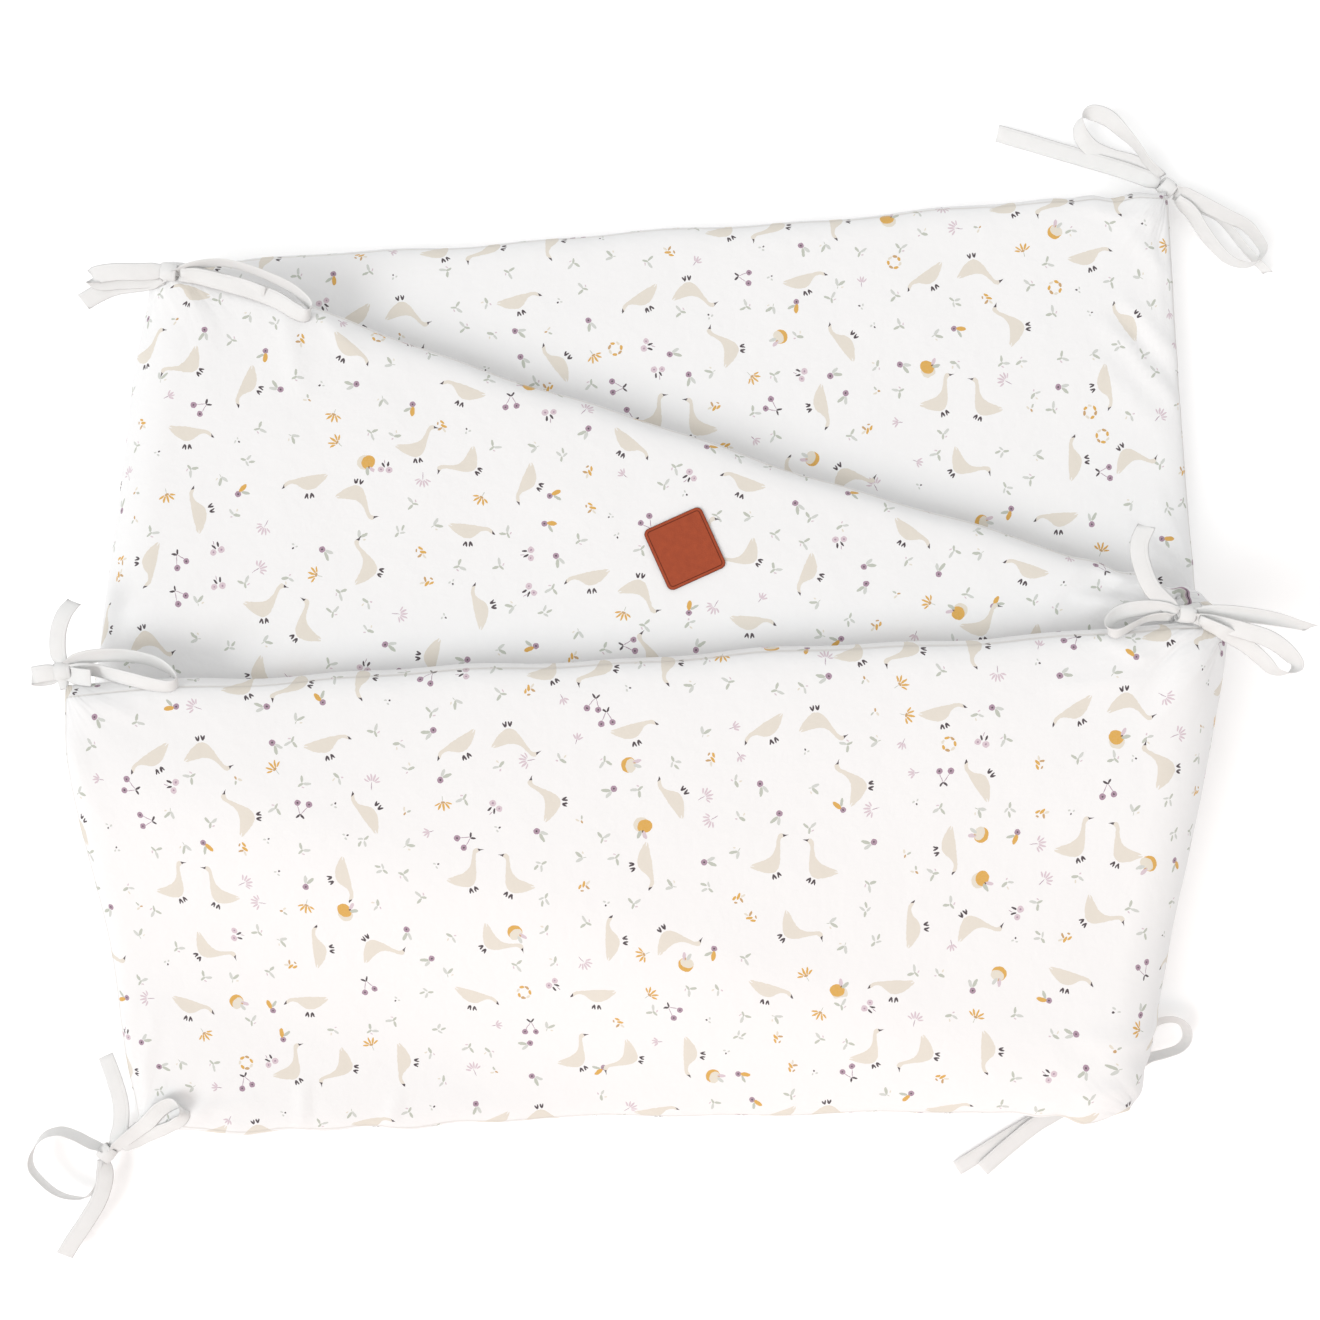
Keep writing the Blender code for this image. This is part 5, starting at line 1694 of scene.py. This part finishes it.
print("patch slab:", len(slab.faces), "faces")

# %% [markdown]
# Bisecting planes cut the slab every few millimetres. Each point then takes the height of the
# cloth under it, so the patch follows the padding.

# %% Laying the patch
PATCH_CUTS = 9
CUTS_REACH = 0.4  # of the patch's width, to each side
SHARP_ANGLE = math.radians(40)
PATCH_CLEARANCE = 0.1 * MM
for axis in (Vector((1, 0, 0)), Vector((0, 1, 0))):
    for at in np.linspace(-CUTS_REACH, CUTS_REACH, PATCH_CUTS) * PATCH_SIZE[0]:
        everything = slab.verts[:] + slab.edges[:] + slab.faces[:]
        bmesh.ops.bisect_plane(slab, geom=everything, plane_co=axis * at, plane_no=axis)
lay_print(slab.loops.layers.uv.new("cloth"), slab.faces, lambda vertex: vertex.co[:2])
turned_by = Matrix.Rotation(PATCH_TURN, 3, "Z")
bmesh.ops.rotate(slab, verts=slab.verts, cent=(0, 0, 0), matrix=turned_by)
patch_x, patch_y = np.array(PATCH_AT) - np.array(CENTRE)
for vertex in slab.verts:
    x, y, z = vertex.co
    under = surface_under(patch_x + x, patch_y + y)
    vertex.co = (patch_x + x, patch_y + y, under + z + PATCH_THICKNESS / 2 + PATCH_CLEARANCE)
bmesh.ops.recalc_face_normals(slab, faces=slab.faces)
patch = new_object("leather_patch", slab)
patch.data.shade_smooth()
patch.data.set_sharp_from_angle(angle=SHARP_ANGLE)
print("patch:", len(patch.data.polygons), "faces")

# %% [markdown]
# ## Leather
# Leather has a pebbled grain of small cells with creases between them, and its colour is
# uneven. The burnt edge and the pressed line are masks of the distance from the rounded square's
# edge.

# %% Leather
BURNT_WIDTH = 0.6 * MM
LINE_BLUR = 0.45 * MM
LINE_DARKNESS = 0.9
HIDE_TONES = tone(144, 57, 26), tone(172, 76, 40)
BURNT_TONE = tone(84, 36, 22)
MOTTLE_SCALE = 220.0
MOTTLE_DEPTH = 0.6 * MM
GRAIN_SCALE = 1500.0
GRAIN_DEPTH = 0.25 * MM
leather, tree, shader = new_material("leather", Specular_IOR_Level=0.3)
point = cloth_point(tree)
half = (PATCH_SIZE[0] / 2 - PATCH_CORNER, PATCH_SIZE[1] / 2 - PATCH_CORNER, 0.0)
beyond = vector_calc("SUBTRACT", vector_calc("ABSOLUTE", point), half)
corner_far = vector_calc("LENGTH", vector_calc("MAXIMUM", beyond, (0.0, 0.0, 0.0)))
beyond_x, beyond_y, _ = split(beyond)
inner = smaller(larger(beyond_x, beyond_y), 0.0)
from_edge = minus(PATCH_CORNER, plus(corner_far, inner))
burnt = smaller(fading(from_edge, BURNT_WIDTH), 1.0)
off_line = absolute(minus(from_edge, LINE_IN + LINE_WIDTH / 2))
dark = larger(burnt, times(fading(off_line, LINE_BLUR), LINE_DARKNESS))
mottle = noisy(point, MOTTLE_SCALE, detail=4.0)[0]
hide = blended(mottle, *HIDE_TONES, "RGBA")
feed(shader.inputs["Base Color"], blended(dark, hide, BURNT_TONE, "RGBA"))
cells = tree.nodes.new("ShaderNodeTexVoronoi")
cells.feature = "SMOOTH_F1"
cells.inputs["Scale"].default_value = GRAIN_SCALE
feed(cells.inputs["Vector"], point)
pebbled = bumped(cells.outputs["Distance"], 0.35, GRAIN_DEPTH)
feed(shader.inputs["Normal"], bumped(mottle, 0.25, MOTTLE_DEPTH, pebbled))
feed(shader.inputs["Roughness"], times_plus(mottle, 0.25, 0.4))
patch.data.materials.append(leather)
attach(patch, "root")
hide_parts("patch")
print("leather:", len(tree.nodes), "nodes")

# %% [markdown]
# ## Floor and light
# The photograph is a bright product picture on white. A wide soft light from the front left, a
# weak one overhead and a bright surround give shadows only a breath darker than the floor. Sun
# lamps light both ends of so long an object alike. The panel nearest the front has a warm cast,
# from a weak warm lamp low in front.

# %% Floor and light
FLOOR_HALF_SIZE = 30.0
FLOOR_BELOW = 0.4 * MM
WHITE = (1.0, 1.0, 1.0, 1)
ROOM_STRENGTH = 0.66
SUNS = (
    # name, place, how wide it looks from the object in degrees, strength
    ("window", (-1.9, -1.15, 2.4), 34, 1.22),
    ("overhead", (0.1, 0.2, 2.4), 80, 0.4),
)
WARM_LAMP = (0.1, -0.95, 0.75)
WARM_LAMP_AIMS_AT = (0.0, -0.15, 0.1)
WARM_LAMP_SIZE = 0.9
WARM_LAMP_STRENGTH = 1.15
WARM_LIGHT = (1.0, 0.42, 0.2)
scene = bpy.context.scene
scene.view_settings.view_transform = "Standard"
scene.view_settings.look = "None"
boards = bmesh.new()
bmesh.ops.create_grid(boards, x_segments=1, y_segments=1, size=FLOOR_HALF_SIZE)
floor = new_object("floor", boards)
floor.location.z = -FLOOR_BELOW
floor_paint, *_ = new_material(
    "pale floor", Roughness=0.95, Base_Color=(0.97, 0.97, 0.97, 1), Specular_IOR_Level=0.1,
    Emission_Color=WHITE, Emission_Strength=0.12,
)
floor.data.materials.append(floor_paint)
scene.world = bpy.data.worlds.new("bright room")
scene.world.use_nodes = True
surround = scene.world.node_tree.nodes["Background"]
surround.inputs["Color"].default_value = WHITE
surround.inputs["Strength"].default_value = ROOM_STRENGTH


def lamp(name, kind, at, aims_at, strength):
    """Hangs one lamp at a place, aimed at another."""
    made = bpy.data.objects.new(name, bpy.data.lights.new(name, kind))
    made.data.energy = strength
    made.location = at
    made.rotation_euler = (Vector(aims_at) - Vector(at)).to_track_quat("-Z", "Y").to_euler()
    scene.collection.objects.link(made)
    return made.data


for name, at, wide, strength in SUNS:
    lamp(name, "SUN", at, (0.0, 0.0, 0.0), strength).angle = math.radians(wide)
warm = lamp("low front", "AREA", WARM_LAMP, WARM_LAMP_AIMS_AT, WARM_LAMP_STRENGTH)
warm.size = WARM_LAMP_SIZE
warm.color = WARM_LIGHT
print("lights:", ", ".join(name for name, *_ in SUNS), "and a warm one low in front")
